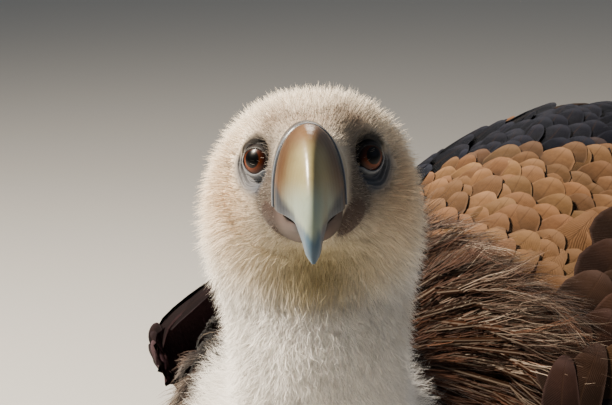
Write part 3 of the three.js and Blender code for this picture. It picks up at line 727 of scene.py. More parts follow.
lower_turn, lower_place = loops(np.linspace(0, len(LOWER_BILL) - 1, 60), 96)
lower = bill_surface(LOWER_BILL, lower_turn, lower_place, upper=False)
lower_colour = two_tone(LOWER_DARK, LOWER_PINK, smooth(lower_place, 0.6, 2.0))
lower_colour = blended(lower_colour, smooth(lower_place, 3.2, 4.6), HORN_SLATE)
lower_finish, start, marking, where = marked_finish("lower_horn")
close(start, {"Base Color": marking, "Roughness": 0.55, "Specular IOR Level": 0.25})
lower_points, lower_quads = shell(from_head(lower))
piece(
    "lower_bill", lower_points, lower_quads, lower_finish, "horn", ("bill_lower",),
    colours=with_ends(lower_colour),
)

# ---- Down -------------------------------------------------------------------------------------------------
# The head and neck wear short dense down: a cap of soft cream filaments on the skull, thick white wool on the
# neck, and sparse dark-rooted bristles between eye and bill. Every filament grows away from the bill.
DOWN_COUNT = 120000
DOWN_PIECES = 4
DOWN_FROM, FRINGE_AT = 6.9, 8.2  # places on the neck where the down starts, and where it is longest
RUFF_HIGHER = 0.9  # places by which the ruff reaches higher up the neck on the left
BRISTLE_PALE, BRISTLE_SHARE = 0xB9AEA0, 0.42
DOWN_WIDTH, FACE_THINNER, DOWN_RISE = 0.00029, 0.00010, 46
UV_PATCH = 0.003  # size of one strand's or feather's patch in the coat's map
THROAT = ((0.0, 0.014, -0.050), (0.026, 0.040, 0.022))  # centre and sizes of the throat's long tufts
rng = np.random.default_rng(11)


def surface_frame(turns, places):
    """Points of the bird with the outward direction and the direction towards the bill along the surface."""
    points = body_surface(turns, places)[0]
    ahead = body_surface(turns, np.minimum(places + 0.01, BODY_END))[0]
    behind = body_surface(turns, np.maximum(places - 0.01, 0))[0]
    round_on = body_surface(turns + 0.001, places)[0]
    along = unit(ahead - behind)
    return points, unit(np.cross(round_on - points, along)), along


SCATTER_LINES = 241  # lines of the grid, each way, that roots are spread over


def scatter(surface, turn_range, place_range, count, density):
    """Random turns and places on a surface, evenly over its area times a density at each point."""
    turns = np.linspace(*turn_range, SCATTER_LINES)
    places = np.linspace(*place_range, SCATTER_LINES)
    corners = surface(*np.meshgrid(turns, places))
    over_turn = corners[1:, 1:] - corners[1:, :-1]
    over_place = corners[1:, 1:] - corners[:-1, 1:]
    area = np.linalg.norm(np.cross(over_turn, over_place), axis=-1)
    mid_turn, mid_place = np.meshgrid((turns[1:] + turns[:-1]) / 2, (places[1:] + places[:-1]) / 2)
    weight = (area * density((corners[1:, 1:] + corners[:-1, :-1]) / 2, mid_turn, mid_place)).ravel()
    chosen = rng.choice(weight.size, count, p=weight / weight.sum())
    step = (rng.random((2, count)) - 0.5) * np.array([[turns[1] - turns[0]], [places[1] - places[0]]])
    return mid_turn.ravel()[chosen] + step[0], mid_place.ravel()[chosen] + step[1]


def from_lids(face):
    """Distance out from the lids' folds over the face, which reach further below; large behind the eye."""
    out, angle, ahead = round_eye(face)
    return np.where(ahead > 0, out - 0.0035 * smooth(-np.sin(angle - 0.3), -0.2, 0.5), 0.05)


def left_side(turns):
    """1 on the left of the neck's root, where the brown ruff reaches higher up the white down, else 0."""
    return smooth(np.cos((turns - 0.07) * 2 * np.pi), 0.1, 0.75)


def down_density(points, turns, places):
    """Full on skull and neck, denser and finer on the face, and thin on the bare skin of eyes and mouth."""
    face = in_head(points)
    covered = smooth(from_lids(face), 0.0030, 0.0078) * (1 - 0.65 * bare_gape(face))
    on_face = (1 + 1.3 * smooth(places, 14.5, 17.5)) * (1 - 0.55 * lores(face))
    above_ruff = smooth(places - RUFF_HIGHER * left_side(turns), DOWN_FROM, DOWN_FROM + 0.7)
    return on_face * (0.03 + 0.97 * covered) * above_ruff


down_turn, down_place = scatter(
    lambda t, p: body_surface(t, p)[0], (0, 1), (DOWN_FROM, BODY_END - 0.15), DOWN_COUNT, down_density
)
down_root, down_normal, toward_bill = surface_frame(down_turn, down_place)
face = in_head(down_root)
depth = between(BODY, down_place)[:, 7] * coat_share(face) * (1 - SKIN_SHARE)


def gentle(points, scale, seed):
    """Three smooth wandering numbers over space, each a mean of sines of about one wave per scale."""
    made = np.random.default_rng(seed)
    waves = made.normal(size=(5, 3, 3)) * (2 * np.pi / scale) * 0.45
    offsets = made.random((5, 3)) * 2 * np.pi
    return np.stack([np.sin(points @ waves[k].T + offsets[k]) for k in range(5)]).mean(0)


down_finish, start, marking, where = marked_finish("down_filament")
close(start, {
    "Base Color": marking,
    "Roughness": 0.75,
    "Specular IOR Level": 0.25,
    "Sheen Weight": 0.35,
    "Sheen Roughness": 0.4,
})


def strands(name, roots, normals, lie, lengths, rise, droop, curl, widths, colours, root_shade, root_uv, rows,
            count):
    """Tapered filaments as strips of rows of points, in count pieces.

    A filament leaves its root at an angle of rise to the skin, and the part of it along the outward direction
    falls off with the square of the distance by droop, so that it bends over to lie along the coat. It swings
    from side to side by the share curl of its length, and its colour darkens to root_shade at its root.
    """
    t = np.linspace(0, 1, rows)[None, :, None]
    out_share, lie_share = np.sin(rise)[:, None, None], np.cos(rise)[:, None, None]
    bend = droop[:, None, None]
    path = lie[:, None] * lie_share * t + normals[:, None] * (out_share * t - bend * t * t)
    path = roots[:, None] + path * lengths[:, None, None]
    phase = rng.uniform(0, 6.3, (len(roots), 1, 1))
    swing = curl[:, None, None] * lengths[:, None, None] * np.sin(t * 5.5 + phase) * t
    path = path - normals[:, None] * 0.0004 + np.cross(lie, normals)[:, None] * swing
    turn_about = rng.uniform(-1.0, 1.0, len(roots))[:, None]
    across = unit(np.cross(lie, normals) * np.cos(turn_about) + normals * np.sin(turn_about))
    taper = (1 - t**1.6 * 0.9) * widths[:, None, None] * 0.5
    points = np.stack([path - across[:, None] * taper, path + across[:, None] * taper], 2)
    deep = np.broadcast_to(root_shade, len(roots))[:, None, None]
    shades = colours[:, None, None, :] * (deep + (1 - deep) * t**0.7)[..., None]
    shades = np.broadcast_to(shades, points.shape)
    local = np.stack(np.meshgrid([0.0, 1.0], np.linspace(0, 1, rows)), -1) * UV_PATCH
    patch = root_uv[:, None, None, :] + local
    strip = grid_quads(rows, 2, False)
    for number, part in enumerate(np.array_split(np.arange(len(roots)), count)):
        quads = (strip[None] + (np.arange(len(part)) * rows * 2)[:, None, None]).reshape(-1, 4)
        piece(
            f"{name}_{number + 1}", points[part].reshape(-1, 3), quads, down_finish, "down",
            colours=shades[part].reshape(-1, 3), unwraps={"OFBake": patch[part].reshape(-1, 2)},
        )


on_face = smooth(down_place, 14.8, 17.2)
woolly = (1 - smooth(down_place, 13.0, 15.5))[:, None]
tousle = gentle(down_root, 0.018, 3) * (0.40 + 0.35 * woolly)
tousle = tousle + gentle(down_root, 0.005, 4) * (0.30 + 0.35 * woolly)
lie = -toward_bill + tousle + rng.normal(0, 0.16, down_root.shape) * (1 + woolly)
lie = unit(lie - down_normal * (lie * down_normal).sum(-1, keepdims=True))
length = (depth * (1.2 - 0.15 * woolly[:, 0]) + 0.0022) * rng.uniform(0.7, 1.25, DOWN_COUNT)
rise = np.radians(rng.normal(DOWN_RISE, 12, DOWN_COUNT) + 8 * woolly[:, 0])
droop = rng.uniform(0.10, 0.34, DOWN_COUNT)
curl = rng.uniform(0.02, 0.05, DOWN_COUNT) + 0.09 * woolly[:, 0]
width = (DOWN_WIDTH - FACE_THINNER * on_face) * rng.uniform(0.7, 1.3, DOWN_COUNT)
tint = markings(down_root, down_place) * rng.normal(1.0, 0.09, (DOWN_COUNT, 1))
bristly = lores(face)
pale = bristly * (rng.random(DOWN_COUNT) < BRISTLE_SHARE)
tint = blended(tint, pale * rng.uniform(0.3, 0.9, DOWN_COUNT), BRISTLE_PALE)
throat = blob(face, *THROAT)
fringe = np.exp(-(((down_place - FRINGE_AT - RUFF_HIGHER * left_side(down_turn)) / 0.55) ** 2))
length = length * (1 + 0.9 * throat * rng.random(DOWN_COUNT) ** 2 + 0.7 * fringe) * (1 - 0.25 * bristly)
width = width * (1 - 0.3 * bristly)
shaded = 0.78 - 0.20 * bristly - 0.12 * throat
strands(
    "down", down_root, down_normal, lie, length, rise, droop, curl, width, tint, shaded,
    np.stack([down_turn, down_place / BODY_END], -1), 4, DOWN_PIECES,
)

# ---- Feathers: how one is made ----------------------------------------------------------------------------
# Every feather is a thin curved sheet with a shaft, slanting barbs and a worn pale rim. It is rooted just
# under the coat, follows the body's own surface, and its tip lies over the roots of the ones behind.
# Rows of points along a vane, closest together at its tip.
VANE_LENGTHS = np.array((0, 0.2, 0.4, 0.58, 0.72, 0.84, 0.92, 0.975, 1.0))
VANE_ROWS, VANE_COLUMNS = len(VANE_LENGTHS), 7
A_STEP, B_STEP = 0.002, 0.02  # steps of a surface's two parameters over which its slopes are taken


def vane_finish(name, shaft_colour, rim_share, shaft_share, shaft_width, painted_root_shade):
    """A vane's finish from its marking: painted shade on its covered root, paler rim and tip, streaked shaft
    and slanting barbs.
    """
    finish, start, marking, where = marked_finish(name)
    flat = start.add("ShaderNodeUVMap", uv_map="Vane")
    across = start.add("ShaderNodeSeparateXYZ", {0: flat}, output=0)
    along = start.add("ShaderNodeSeparateXYZ", {0: flat}, output=1)
    worn = where.noise(120.0, 4.0, Roughness=0.6)
    from_shaft = abs(across - 0.5) * 2.0
    barb = start.sum("SINE", along * 260.0 + from_shaft * 46.0 + worn * 9.0, 0.0)
    tip = (along + worn * 0.08).within(0.88, 1.03)
    side = (from_shaft + worn * 0.2).within(0.94, 1.12)
    rim = start.sum("MAXIMUM", tip, side * 0.7) * rim_share
    shaft = (1.0 - from_shaft).within(1.0 - shaft_width, 1.0) * shaft_share
    split = where.noise(420.0, 3.0)
    # Painted shade: each vane darkens towards its root, which the feathers before it cover.
    root = 1.0 - (1.0 - (along - from_shaft * 0.08).within(0.50, 0.84)) * painted_root_shade
    colour = ((barb * 0.06 + split * 0.5 + 0.66) * root).mix(BLACK, marking)
    faded = {0: marking, 1: (1.7, 1.75, 1.85), 2: (0.012, 0.012, 0.014)}
    colour = rim.mix(colour, start.add("ShaderNodeVectorMath", faded, operation="MULTIPLY_ADD"))
    colour = shaft.mix(colour, opaque(shaft_colour))
    close(start, {
        "Base Color": colour,
        "Roughness": 0.55 + worn * 0.25,
        "Specular IOR Level": 0.06,
        "Normal": (barb * 0.4 + shaft * 1.5).bump(0.35, 0.0004),
    })
    return finish


feather_finish = vane_finish("contour_feather", 0x2E1F14, 0.65, 0.35, 0.08, 0.6)
flight_finish = vane_finish("flight_feather", 0x4A3D32, 0.75, 0.5, 0.05, 0.2)


def rounded(v, root, full, tip_from, tip_length):
    """Half width along a feather: it widens from root to full, and ends in an ellipse of tip_length."""
    tip = np.where(v > tip_from, np.clip(1 - ((v - tip_from) / tip_length) ** 2, 0.0025, 1), 1)
    return np.minimum(smooth(v, root, full), np.sqrt(tip))


def blunt(v):
    """Half width of a body feather along its length: quickly full, and rounded at the tip."""
    return rounded(v, -0.25, 0.45, 0.55, 0.46)


def pointed(v):
    """Half width of a lance-shaped feather along its length."""
    return 1.45 * (v + 0.04) ** 0.45 * (1.004 - v) ** 0.75


def long_blade(v):
    """Half width of a flight feather along its length: parallel sides and a rounded tip."""
    return rounded(v, -0.2, 0.25, 0.86, 0.143)


def feathers(name, surface, a, b, length, width, lift, colours, unwrap, outline=blunt, turn=0.0, curve=0.0,
             arch=0.0, camber=0.08, flip=1, finish=feather_finish, slot="brown_feather", replaces=(),
             limit=(0.0, 99.0)):
    """Feathers on a surface of two parameters, as one mesh, and the points, directions and normals of their
    centre lines.

    A centre line runs from its root at (a, b) by its length, at a turn from the surface's second direction,
    and goes aside by curve times the square of the distance. Its lift goes from the first number to the
    second. The sheet spreads to each side of it by the width times the outline, and its edges curl down by
    camber times the square of the distance across.
    """
    count = len(a)
    length, width, root_lift, tip_lift, turn, curve = (
        np.broadcast_to(value, count)[:, None] for value in (length, width, *lift, turn, curve)
    )
    here = surface(a, b, 0.0)
    per_a = np.linalg.norm(surface(a + A_STEP, b, 0.0) - here, axis=-1)[:, None] / A_STEP
    per_b = np.linalg.norm(surface(a, b + B_STEP, 0.0) - here, axis=-1)[:, None] / B_STEP
    v = VANE_LENGTHS
    along_a = a[:, None] + length / per_a * (np.sin(turn) * v + curve * v**2)
    along_b = np.clip(b[:, None] + np.cos(turn) * length / per_b * v, *limit)
    rise = root_lift + (tip_lift - root_lift) * v**1.4 + arch * np.sin(np.pi * v)
    line = surface(along_a, along_b, rise)
    over_a = surface(along_a + A_STEP, along_b, rise) - surface(along_a - A_STEP, along_b, rise)
    over_b = surface(along_a, along_b + B_STEP, rise) - surface(along_a, along_b - B_STEP, rise)
    along = unit(np.gradient(line, v, axis=1))
    normals = unit(np.cross(over_a, over_b) * flip)
    normals = unit(normals - along * (normals * along).sum(-1, keepdims=True))
    across = np.cross(normals, along)
    u = np.linspace(-1, 1, VANE_COLUMNS)
    ragged = 1 + 0.03 * rng.normal(size=(count, VANE_ROWS, 1))
    half = width[..., None] * 0.5 * outline(v)[None, :, None] * ragged
    tilt = rng.normal(0, 0.07, count)[:, None, None]
    out = half * (tilt * u - camber * u**2)
    points = line[:, :, None] + across[:, :, None] * (half * u)[..., None]
    points = points + normals[:, :, None] * out[..., None]
    shades = np.broadcast_to(colours[:, None, None], points.shape)
    flat = np.broadcast_to(np.stack(np.meshgrid(u * 0.5 + 0.5, v), -1), (*points.shape[:3], 2))
    patch = unwrap[:, None, None] + flat * UV_PATCH
    quads = grid_quads(VANE_ROWS, VANE_COLUMNS, False)
    quads = (quads[None] + (np.arange(count) * VANE_ROWS * VANE_COLUMNS)[:, None, None]).reshape(-1, 4)
    piece(
        name, points.reshape(-1, 3), quads, finish, slot, replaces, colours=shades.reshape(-1, 3),
        unwraps={"OFBake": patch.reshape(-1, 2), "Vane": flat.reshape(-1, 2)},
    )
    return line, along, normals


COURSE_STEP = 0.78  # from row to row, as a share of the space between neighbours in a row
COURSE_POINTS = 81  # points that measure the length of a row


def courses(surface, a_range, b_range, apart):
    """Roots laid in staggered rows as tiles are: rows step along b, and roots lie apart(b) apart in a row."""
    a_all, b_all, row, b = [], [], 0, b_range[0]
    while b < b_range[1]:
        a = np.linspace(*a_range, COURSE_POINTS)
        line = surface(a, np.full(COURSE_POINTS, b), 0.0)
        run = np.r_[0, np.cumsum(np.linalg.norm(np.diff(line, axis=0), axis=-1))]
        count = max(int(run[-1] / apart(b)), 2)
        stops = (np.arange(count) + 0.25 + 0.5 * (row % 2) + rng.normal(0, 0.10, count)) / count * run[-1]
        a_all.append(np.interp(stops, run, a))
        b_all.append(b + rng.normal(0, 0.10, count) * 0.3 * apart(b) / 0.03)
        centre, here = np.full(1, a[COURSE_POINTS // 2]), np.full(1, b)
        step = np.linalg.norm(surface(centre, here + B_STEP, 0.0) - surface(centre, here, 0.0)) / B_STEP
        b += COURSE_STEP * apart(b) / step
        row += 1
    return np.concatenate(a_all), np.concatenate(b_all)


def varied(colour, count, spread=0.13):
    """A colour for each feather, a little lighter or darker and warmer or cooler than the given one."""
    return linear(colour) * rng.normal(1, spread, (count, 1)) * (1 + rng.normal(0, 0.025, (count, 3)))


# ---- Body feathers ----------------------------------------------------------------------------------------
# Breast, belly, back and rump wear short rounded brown feathers with pale rims, laid like tiles towards the
# tail. The ones that the folded wings hide are left out.
# Each wing row: y, centre z, half width, half height, lowest and highest angle in degrees, thickness.
WING = np.array((
    (-0.24143, 0.396, 0.14, 0.034, -20, 10, 0.008),
    (-0.22943, 0.396, 0.161, 0.05, -40, 32, 0.026),
    (-0.19343, 0.394, 0.169, 0.072, -44, 48, 0.038),
    (-0.12143, 0.388, 0.169, 0.102, -42, 56, 0.042),
    (-0.03143, 0.386, 0.167, 0.121, -38, 63, 0.042),
    (0.04857, 0.388, 0.155, 0.138, -35, 69, 0.038),
    (0.12357, 0.388, 0.134, 0.137, -30, 73, 0.034),
    (0.19857, 0.376, 0.104, 0.112, -24, 76, 0.024),
    (0.27857, 0.352, 0.076, 0.074, -18, 72, 0.012),
    (0.35357, 0.328, 0.054, 0.048, -10, 60, 0.007),
    (0.40857, 0.308, 0.042, 0.036, 4, 40, 0.003),
))
WING_END = len(WING) - 1
WING_MARGIN = 9  # degrees inside a wing's edges where the body's feathers stop
MANTLE_TAN, BELLY_TAN, DUSK_AND_SHADOW, BEND_DARK = 0x5C432C, 0x7C5F40, 0x0E1018, 0x1B1113
BODY_APART = 0.017


def coat_outline(turns, places, lift):
    return body_surface(turns, places, lift, 1.0)[0]


def under_wing(points):
    """True where a point of the body lies behind a folded wing."""
    across, along, up = np.moveaxis(points, -1, 0)
    middle, wide, tall, lowest, highest = (np.interp(along, WING[:, 0], WING[:, k]) for k in range(1, 6))
    angle = np.degrees(np.arctan2((up - middle) / tall, np.abs(across) / wide))
    inside = (angle > lowest + WING_MARGIN) & (angle < highest - WING_MARGIN)
    return inside & (along > WING[1, 0]) & (along < WING[8, 0])


body_turn, body_place = courses(coat_outline, (0, 1), (0.35, 7.5), lambda b: BODY_APART)
at = coat_outline(body_turn, body_place, 0.0)
shown = ~under_wing(at)
body_turn, body_place, at = body_turn[shown], body_place[shown], at[shown]
many = len(body_turn)
belly = smooth(-np.sin(body_turn * 2 * np.pi), 0.1, 0.9)[:, None]
# The tan mantle ends at a slanting line across the back. Behind it the back is painted shadow in blue-black,
# which reaches furthest forward on the bird's right. Painted shade darkens the feathers beside the bend of
# the bird's right wing too.
back_shadow = smooth(at[:, 1] + 0.080 - 0.6 * np.maximum(at[:, 0] + 0.02, 0), 0.0, 0.014)[:, None] * (1 - belly)
body_colour = varied(MANTLE_TAN, many, 0.16) * (1 - 0.6 * belly) + varied(BELLY_TAN, many) * 0.6 * belly
right_shoulder_shade = (smooth(-at[:, 0], 0.010, 0.035) * smooth(-at[:, 1], 0.165, 0.190))[:, None]
body_colour = body_colour * (1 - back_shadow) + varied(DUSK_AND_SHADOW, many) * back_shadow
body_colour = body_colour * (1 - right_shoulder_shade) + varied(BEND_DARK, many) * right_shoulder_shade
feathers(
    "body_feathers", coat_outline, body_turn, body_place, rng.uniform(0.038, 0.050, many),
    rng.uniform(0.024, 0.030, many), (-0.008, rng.uniform(-0.002, 0.001, many)), body_colour,
    np.stack([body_turn % 1, body_place / BODY_END], -1), turn=np.pi + rng.normal(0, 0.12, many),
    limit=(0.02, 8),
)

# ---- Wings ------------------------------------------------------------------------------------------------
# Each folded wing is a shield of tan coverts like scales, each with a pale rim, dark at the bend of the wing,
# partly its own dark brown and partly painted shade, over rows of long blackish-brown flight feathers that
# reach back over the tail.
COVERT_TAN, SCAPULAR_BROWN, FLIGHT_DARK = 0x5C432C, 0x2E1F17, 0x241C17
GREATER_TAN = 0x5B4029
# The flesh's inner face, which lies in shade against the body, gets painted light: four times the colour.
INNER_FLESH_PAINTED_LIGHT, FLESH_OUTSIDE = 4.0, 0.6  # brightness of the flesh's colour on the wing's two faces
WING_INSET = 0.006  # how far the flesh lies under the tips of its feathers
TIP_STRETCH = 0.055  # metres that a feather reaches back for each place past the wing's last row

wing_flesh, start, marking, where = marked_finish("wing_down")
fluff = where.noise(300.0, 6.0, Roughness=0.7)
close(start, {
    "Base Color": (fluff * 0.8 + 0.5).mix(BLACK, marking),
    "Roughness": 0.9,
    "Specular IOR Level": 0.1,
    "Normal": fluff.bump(0.8, 0.0015),
})


def wing_surface(side):
    """A wing's outer face for one side: the first parameter runs from its low edge to its high one, and the
    second along it from the bend to the tip. Each section is an arc of an ellipse across the bird."""
    def surface(a, b, lift):
        row = between(WING, np.clip(b, 0, WING_END))
        y, middle, wide, tall, lowest, highest, _ = np.moveaxis(row, -1, 0)
        angle = np.radians(lowest + (highest - lowest) * a)
        y = y + np.maximum(b - WING_END, 0) * TIP_STRETCH
        return np.stack([side * (wide + lift) * np.cos(angle), y, middle + (tall + lift) * np.sin(angle)], -1)
    return surface


def wing_depth(a, b):
    """A wing's thickness, which falls to a quarter of its table's number at the low and the high edge."""
    return between(WING, b)[..., 6] * (0.25 + 0.75 * np.sin(np.pi * np.clip(a, 0, 1)))


def bend_surface(side):
    """The front of a wing: the second parameter runs from the inner face below 0, round the edge at 0, to the
    outer face above it. The depth inside the outline falls smoothly from the wing's thickness to none."""
    def surface(a, b, lift):
        inside = 1 - smooth(b, -0.35, 0.35)
        points = wing_surface(side)(a, np.abs(b), lift * (1 - 2 * inside) - wing_depth(a, np.abs(b)) * inside)
        points[..., 1] -= 0.004 * np.exp(-((b / 0.3) ** 2))
        return points
    return surface


def covert_apart(b):
    """Space between neighbouring coverts, which grow larger away from the bend of the wing."""
    return 0.0115 + 0.0046 * np.minimum(np.abs(b), 3.2)


def wing_uv(a, b):
    return np.stack([a * 0.96 + 0.02, b / 10.2], -1)


def on_wing(name, side, a, b, length, width, rise, colours, **more):
    """Feathers of one wing, rooted below its outline and rising to it by rise."""
    root = np.clip(-0.5 * between(WING, b)[:, 6], -0.0075, -0.0065)
    feathers(
        f"{name}_{SIDES[side]}", wing_surface(side), a, b, length, width, (root, rise), colours,
        wing_uv(a, b), flip=-side, turn=rng.normal(0, 0.06, len(a)), limit=(0.0, WING_END), **more,
    )


for side, label in SIDES.items():
    loop, place = loops(np.linspace(0, WING_END, 60), 64)
    inner = loop >= 0.5
    across = np.where(inner, 2 - loop * 2, loop * 2)
    inset = np.minimum(WING_INSET, between(WING, place)[..., 6] * 0.4)
    depth = np.where(inner, np.maximum(wing_depth(across, place), inset + 0.0008), inset)
    flesh, flesh_quads = shell(wing_surface(side)(across, place, -depth))
    dark = two_tone(BEND_DARK, FLIGHT_DARK, smooth(place, 2, 5))
    # Painted light: the shaded inner face is made lighter than the outer one.
    dark = dark * np.where(inner, INNER_FLESH_PAINTED_LIGHT, FLESH_OUTSIDE)[..., None]
    piece(
        f"wing_flesh_{label}", flesh, flesh_quads, wing_flesh, "dark_feather",
        tuple(f"wing_{label}_{part}" for part in ("coverts", "secondaries", "primaries")),
        colours=with_ends(dark),
    )
    # Primaries, then two rows of secondaries over them, then the coverts from the tip forward.
    long_feather = {"outline": long_blade, "camber": 0.10, "finish": flight_finish, "slot": "dark_feather"}
    on_wing(
        "primaries", side, np.linspace(0.12, 0.9, 10), np.linspace(6.3, 6.9, 10),
        np.linspace(0.245, 0.285, 10), 0.040, np.linspace(-0.003, -0.001, 10), varied(FLIGHT_DARK, 10, 0.08),
        **long_feather,
    )
    a = np.r_[np.linspace(0.03, 0.86, 15), np.linspace(0.06, 0.84, 13)]
    b = np.repeat([5.5, 4.5], [15, 13])
    brown = varied(FLIGHT_DARK, 28, 0.1) * np.where(b > 5, 1.0, 1.35)[:, None]
    on_wing("secondaries", side, a, b, 0.150, 0.046, -0.0025, brown, **long_feather)
    a = np.linspace(0.04, 0.88, 22)
    on_wing(
        "greater_coverts", side, a, np.full(22, 4.3), 0.085, 0.032, -0.002, varied(GREATER_TAN, 22),
        camber=0.10,
    )
    # The coverts are tan, dark at the bend and along the top; the bend's dark is partly painted shade. On the
    # bird's right painted shadow darkens more of them: further back from the bend, and blue-black along the
    # top.
    a, b = courses(wing_surface(side), (0.0, 1.0), (0.02, 4.75), covert_apart)
    apart, many = covert_apart(b), len(a)
    dark_to, upper_from, upper_dark = (1.4, 0.78, SCAPULAR_BROWN) if side > 0 else (2.9, 0.66, DUSK_AND_SHADOW)
    bend_dark = (1 - smooth(b + 0.2 * a, dark_to - 1.2, dark_to))[:, None]
    upper = smooth(a, upper_from, upper_from + 0.10)[:, None]
    tan = varied(COVERT_TAN, many, 0.15)
    colours = tan * (1 - upper) + varied(upper_dark, many) * upper
    colours = colours * (1 - bend_dark) + varied(BEND_DARK, many) * bend_dark
    on_wing(
        "coverts", side, a, b, apart * rng.uniform(2.3, 2.6, many), apart * rng.uniform(1.30, 1.5, many),
        rng.uniform(-0.003, -0.001, many), colours,
    )
    # Small dark feathers wrap the bend, from inside the wing round its front edge. Painted light makes those
    # on the shaded inner face up to five times lighter.
    a, b = courses(bend_surface(side), (0.06, 0.88), (-2.6, 0.4), lambda b: 0.0080)
    many = len(a)
    feathers(
        f"bend_feathers_{label}", bend_surface(side), a, b, 0.017, 0.0145,
        (-0.003, rng.uniform(-0.0005, 0.0010, many)),
        varied(BEND_DARK, many) * (1 + 4 * smooth(-b, 0.2, 1.0))[:, None],
        wing_uv(a, np.abs(b)), flip=-side, turn=rng.normal(0, 0.08, many), limit=(-3.0, 3.0),
    )

# ---- Tail -------------------------------------------------------------------------------------------------
# Twelve long blackish-brown feathers fan out from the rump under the wing tips, drooping to the sides. A row
# of dusky coverts from the rump lies over their roots.
# Each row: y, z, half width, half thickness, drop at the sides.
TAIL = np.array((
    (0.18657, 0.388, 0.04, 0.016, 0.008),
    (0.23857, 0.362, 0.052, 0.011, 0.012),
    (0.30357, 0.325, 0.063, 0.007, 0.015),
    (0.36857, 0.286, 0.073, 0.005, 0.017),
    (0.42357, 0.252, 0.076, 0.0035, 0.018),
    (0.44857, 0.238, 0.058, 0.002, 0.01),
))
TAIL_FLESH = 0x1C1511


def tail_surface(a, b, lift):
    """The fan's middle sheet: a runs from the right edge at -1 to the left at 1, dropping with its square."""
    y, z, wide, _, drop = np.moveaxis(between(TAIL, b), -1, 0)
    return np.stack([wide * a, y, z + lift - drop * a**2], -1)


loop, place = loops(np.linspace(0, 3.2, 30), 48)
thick = between(TAIL, place)[..., 3]
across = np.cos(loop * 2 * np.pi) * 0.97
flesh, flesh_quads = shell(tail_surface(across, place, thick * 0.5 * np.sin(loop * 2 * np.pi)))
piece(
    "tail_flesh", flesh, flesh_quads, wing_flesh, "dark_feather",
    colours=np.full((len(flesh), 3), linear(TAIL_FLESH)),
)
a = np.linspace(-1.3, 1.3, 11)
feathers(
    "tail_coverts", tail_surface, a, np.full(11, 0.02), 0.105, 0.034, (0.004, 0.010 - 0.003 * np.abs(a)),
    varied(DUSK_AND_SHADOW, 11), np.stack([a * 0.3 + 0.5, np.full(11, 0.1)], -1),
    finish=flight_finish, slot="dark_feather", limit=(0.0, 4.9),
)
a = np.linspace(-0.86, 0.86, 12)
feathers(
    "tail_feathers", tail_surface, a, np.full(12, 0.35), 0.272 - 0.022 * a**2, 0.040,
    (0.001, 0.003 - 0.004 * np.abs(a)), varied(FLIGHT_DARK, 12, 0.08),
    np.stack([a * 0.45 + 0.5, np.full(12, 0.1)], -1), outline=long_blade, camber=0.10, finish=flight_finish,
    slot="dark_feather", replaces=("tail",), limit=(0.0, 4.9),
)

# ---- Legs -------------------------------------------------------------------------------------------------
# The thighs are feathered down to the heel. Below it the shank and toes are bare grey skin with rows of
# scutes, and each of the four toes ends in a blunt curved dark claw.
# Each row: x, y, z, half width, half depth, for the left leg.
THIGH = np.array((
    (0.07, -0.06543, 0.332, 0.054, 0.064),
    (0.074, -0.05743, 0.285, 0.053, 0.064),
    (0.078, -0.04543, 0.238, 0.044, 0.054),
    (0.081, -0.02943, 0.194, 0.03, 0.036),
    (0.082, -0.01743, 0.16, 0.0195, 0.0225),
    (0.082, -0.01243, 0.141, 0.0145, 0.0155),
))
SHANK = np.array((
    (0.082, -0.00843, 0.152, 0.01, 0.011),
    (0.082, -0.00843, 0.138, 0.0125, 0.014),
    (0.082, -0.01343, 0.119, 0.01, 0.0115),
    (0.082, -0.02443, 0.08, 0.0095, 0.0105),
    (0.082, -0.03643, 0.045, 0.0105, 0.011),
    (0.082, -0.04443, 0.024, 0.0125, 0.0125),
    (0.082, -0.04743, 0.013, 0.011, 0.011),
))
SOLE = np.array((
    (0.082, -0.04843, 0.004, 0.011, 0.012),
    (0.082, -0.04843, 0.01, 0.013, 0.014),
    (0.082, -0.04743, 0.017, 0.011, 0.012),
))
# Each toe: name, degrees outward from straight ahead, length, thickness at the root, claw length.
TOES = (
    ("middle", 3, 0.092, 0.0100, 0.031),
    ("inner", -38, 0.066, 0.0096, 0.032),
    ("outer", 42, 0.070, 0.0090, 0.026),
    ("hind", 186, 0.042, 0.0090, 0.030),
)
FOOT_CENTRE = (0.082, -0.04943)
LEG_GREY, LEG_PALE, CLAW_DARK = 0x77716B, 0xA09A90, 0x262223
THIGH_FLESH, THIGH_TAN = 0x4A3320, 0x6E4B2C
FOOT_LIGHT = 1.2  # how much lighter the feet are than the shanks
CLAW_SWEEP = math.radians(80)


def limb_surface(rows, turns, places, width_along=(1, 0, 0), grow=0.0):
    """A limb whose sections are ellipses square to its middle line, with their width along a direction."""
    row = between(rows, places)
    end = len(rows) - 1
    ahead = between(rows, np.minimum(places + 0.05, end))[..., :3]
    tangent = unit(ahead - between(rows, np.maximum(places - 0.05, 0))[..., :3])
    depth = unit(np.cross(tangent, np.asarray(width_along, float)))
    width = np.cross(depth, tangent)
    angle = turns * 2 * np.pi
    across = (row[..., 3] + grow) * np.cos(angle)
    through = (row[..., 4] + grow) * np.sin(angle)
    return row[..., :3] + width * across[..., None] + depth * through[..., None]


def mirrored(rows, side):
    return rows * np.array((side, 1, 1, 1, 1))


def thigh_surface(side):
    """A thigh's outline, with the turn round it and the place down it as its two parameters."""
    return lambda turns, places, lift: limb_surface(mirrored(THIGH, side), turns, places, grow=lift)


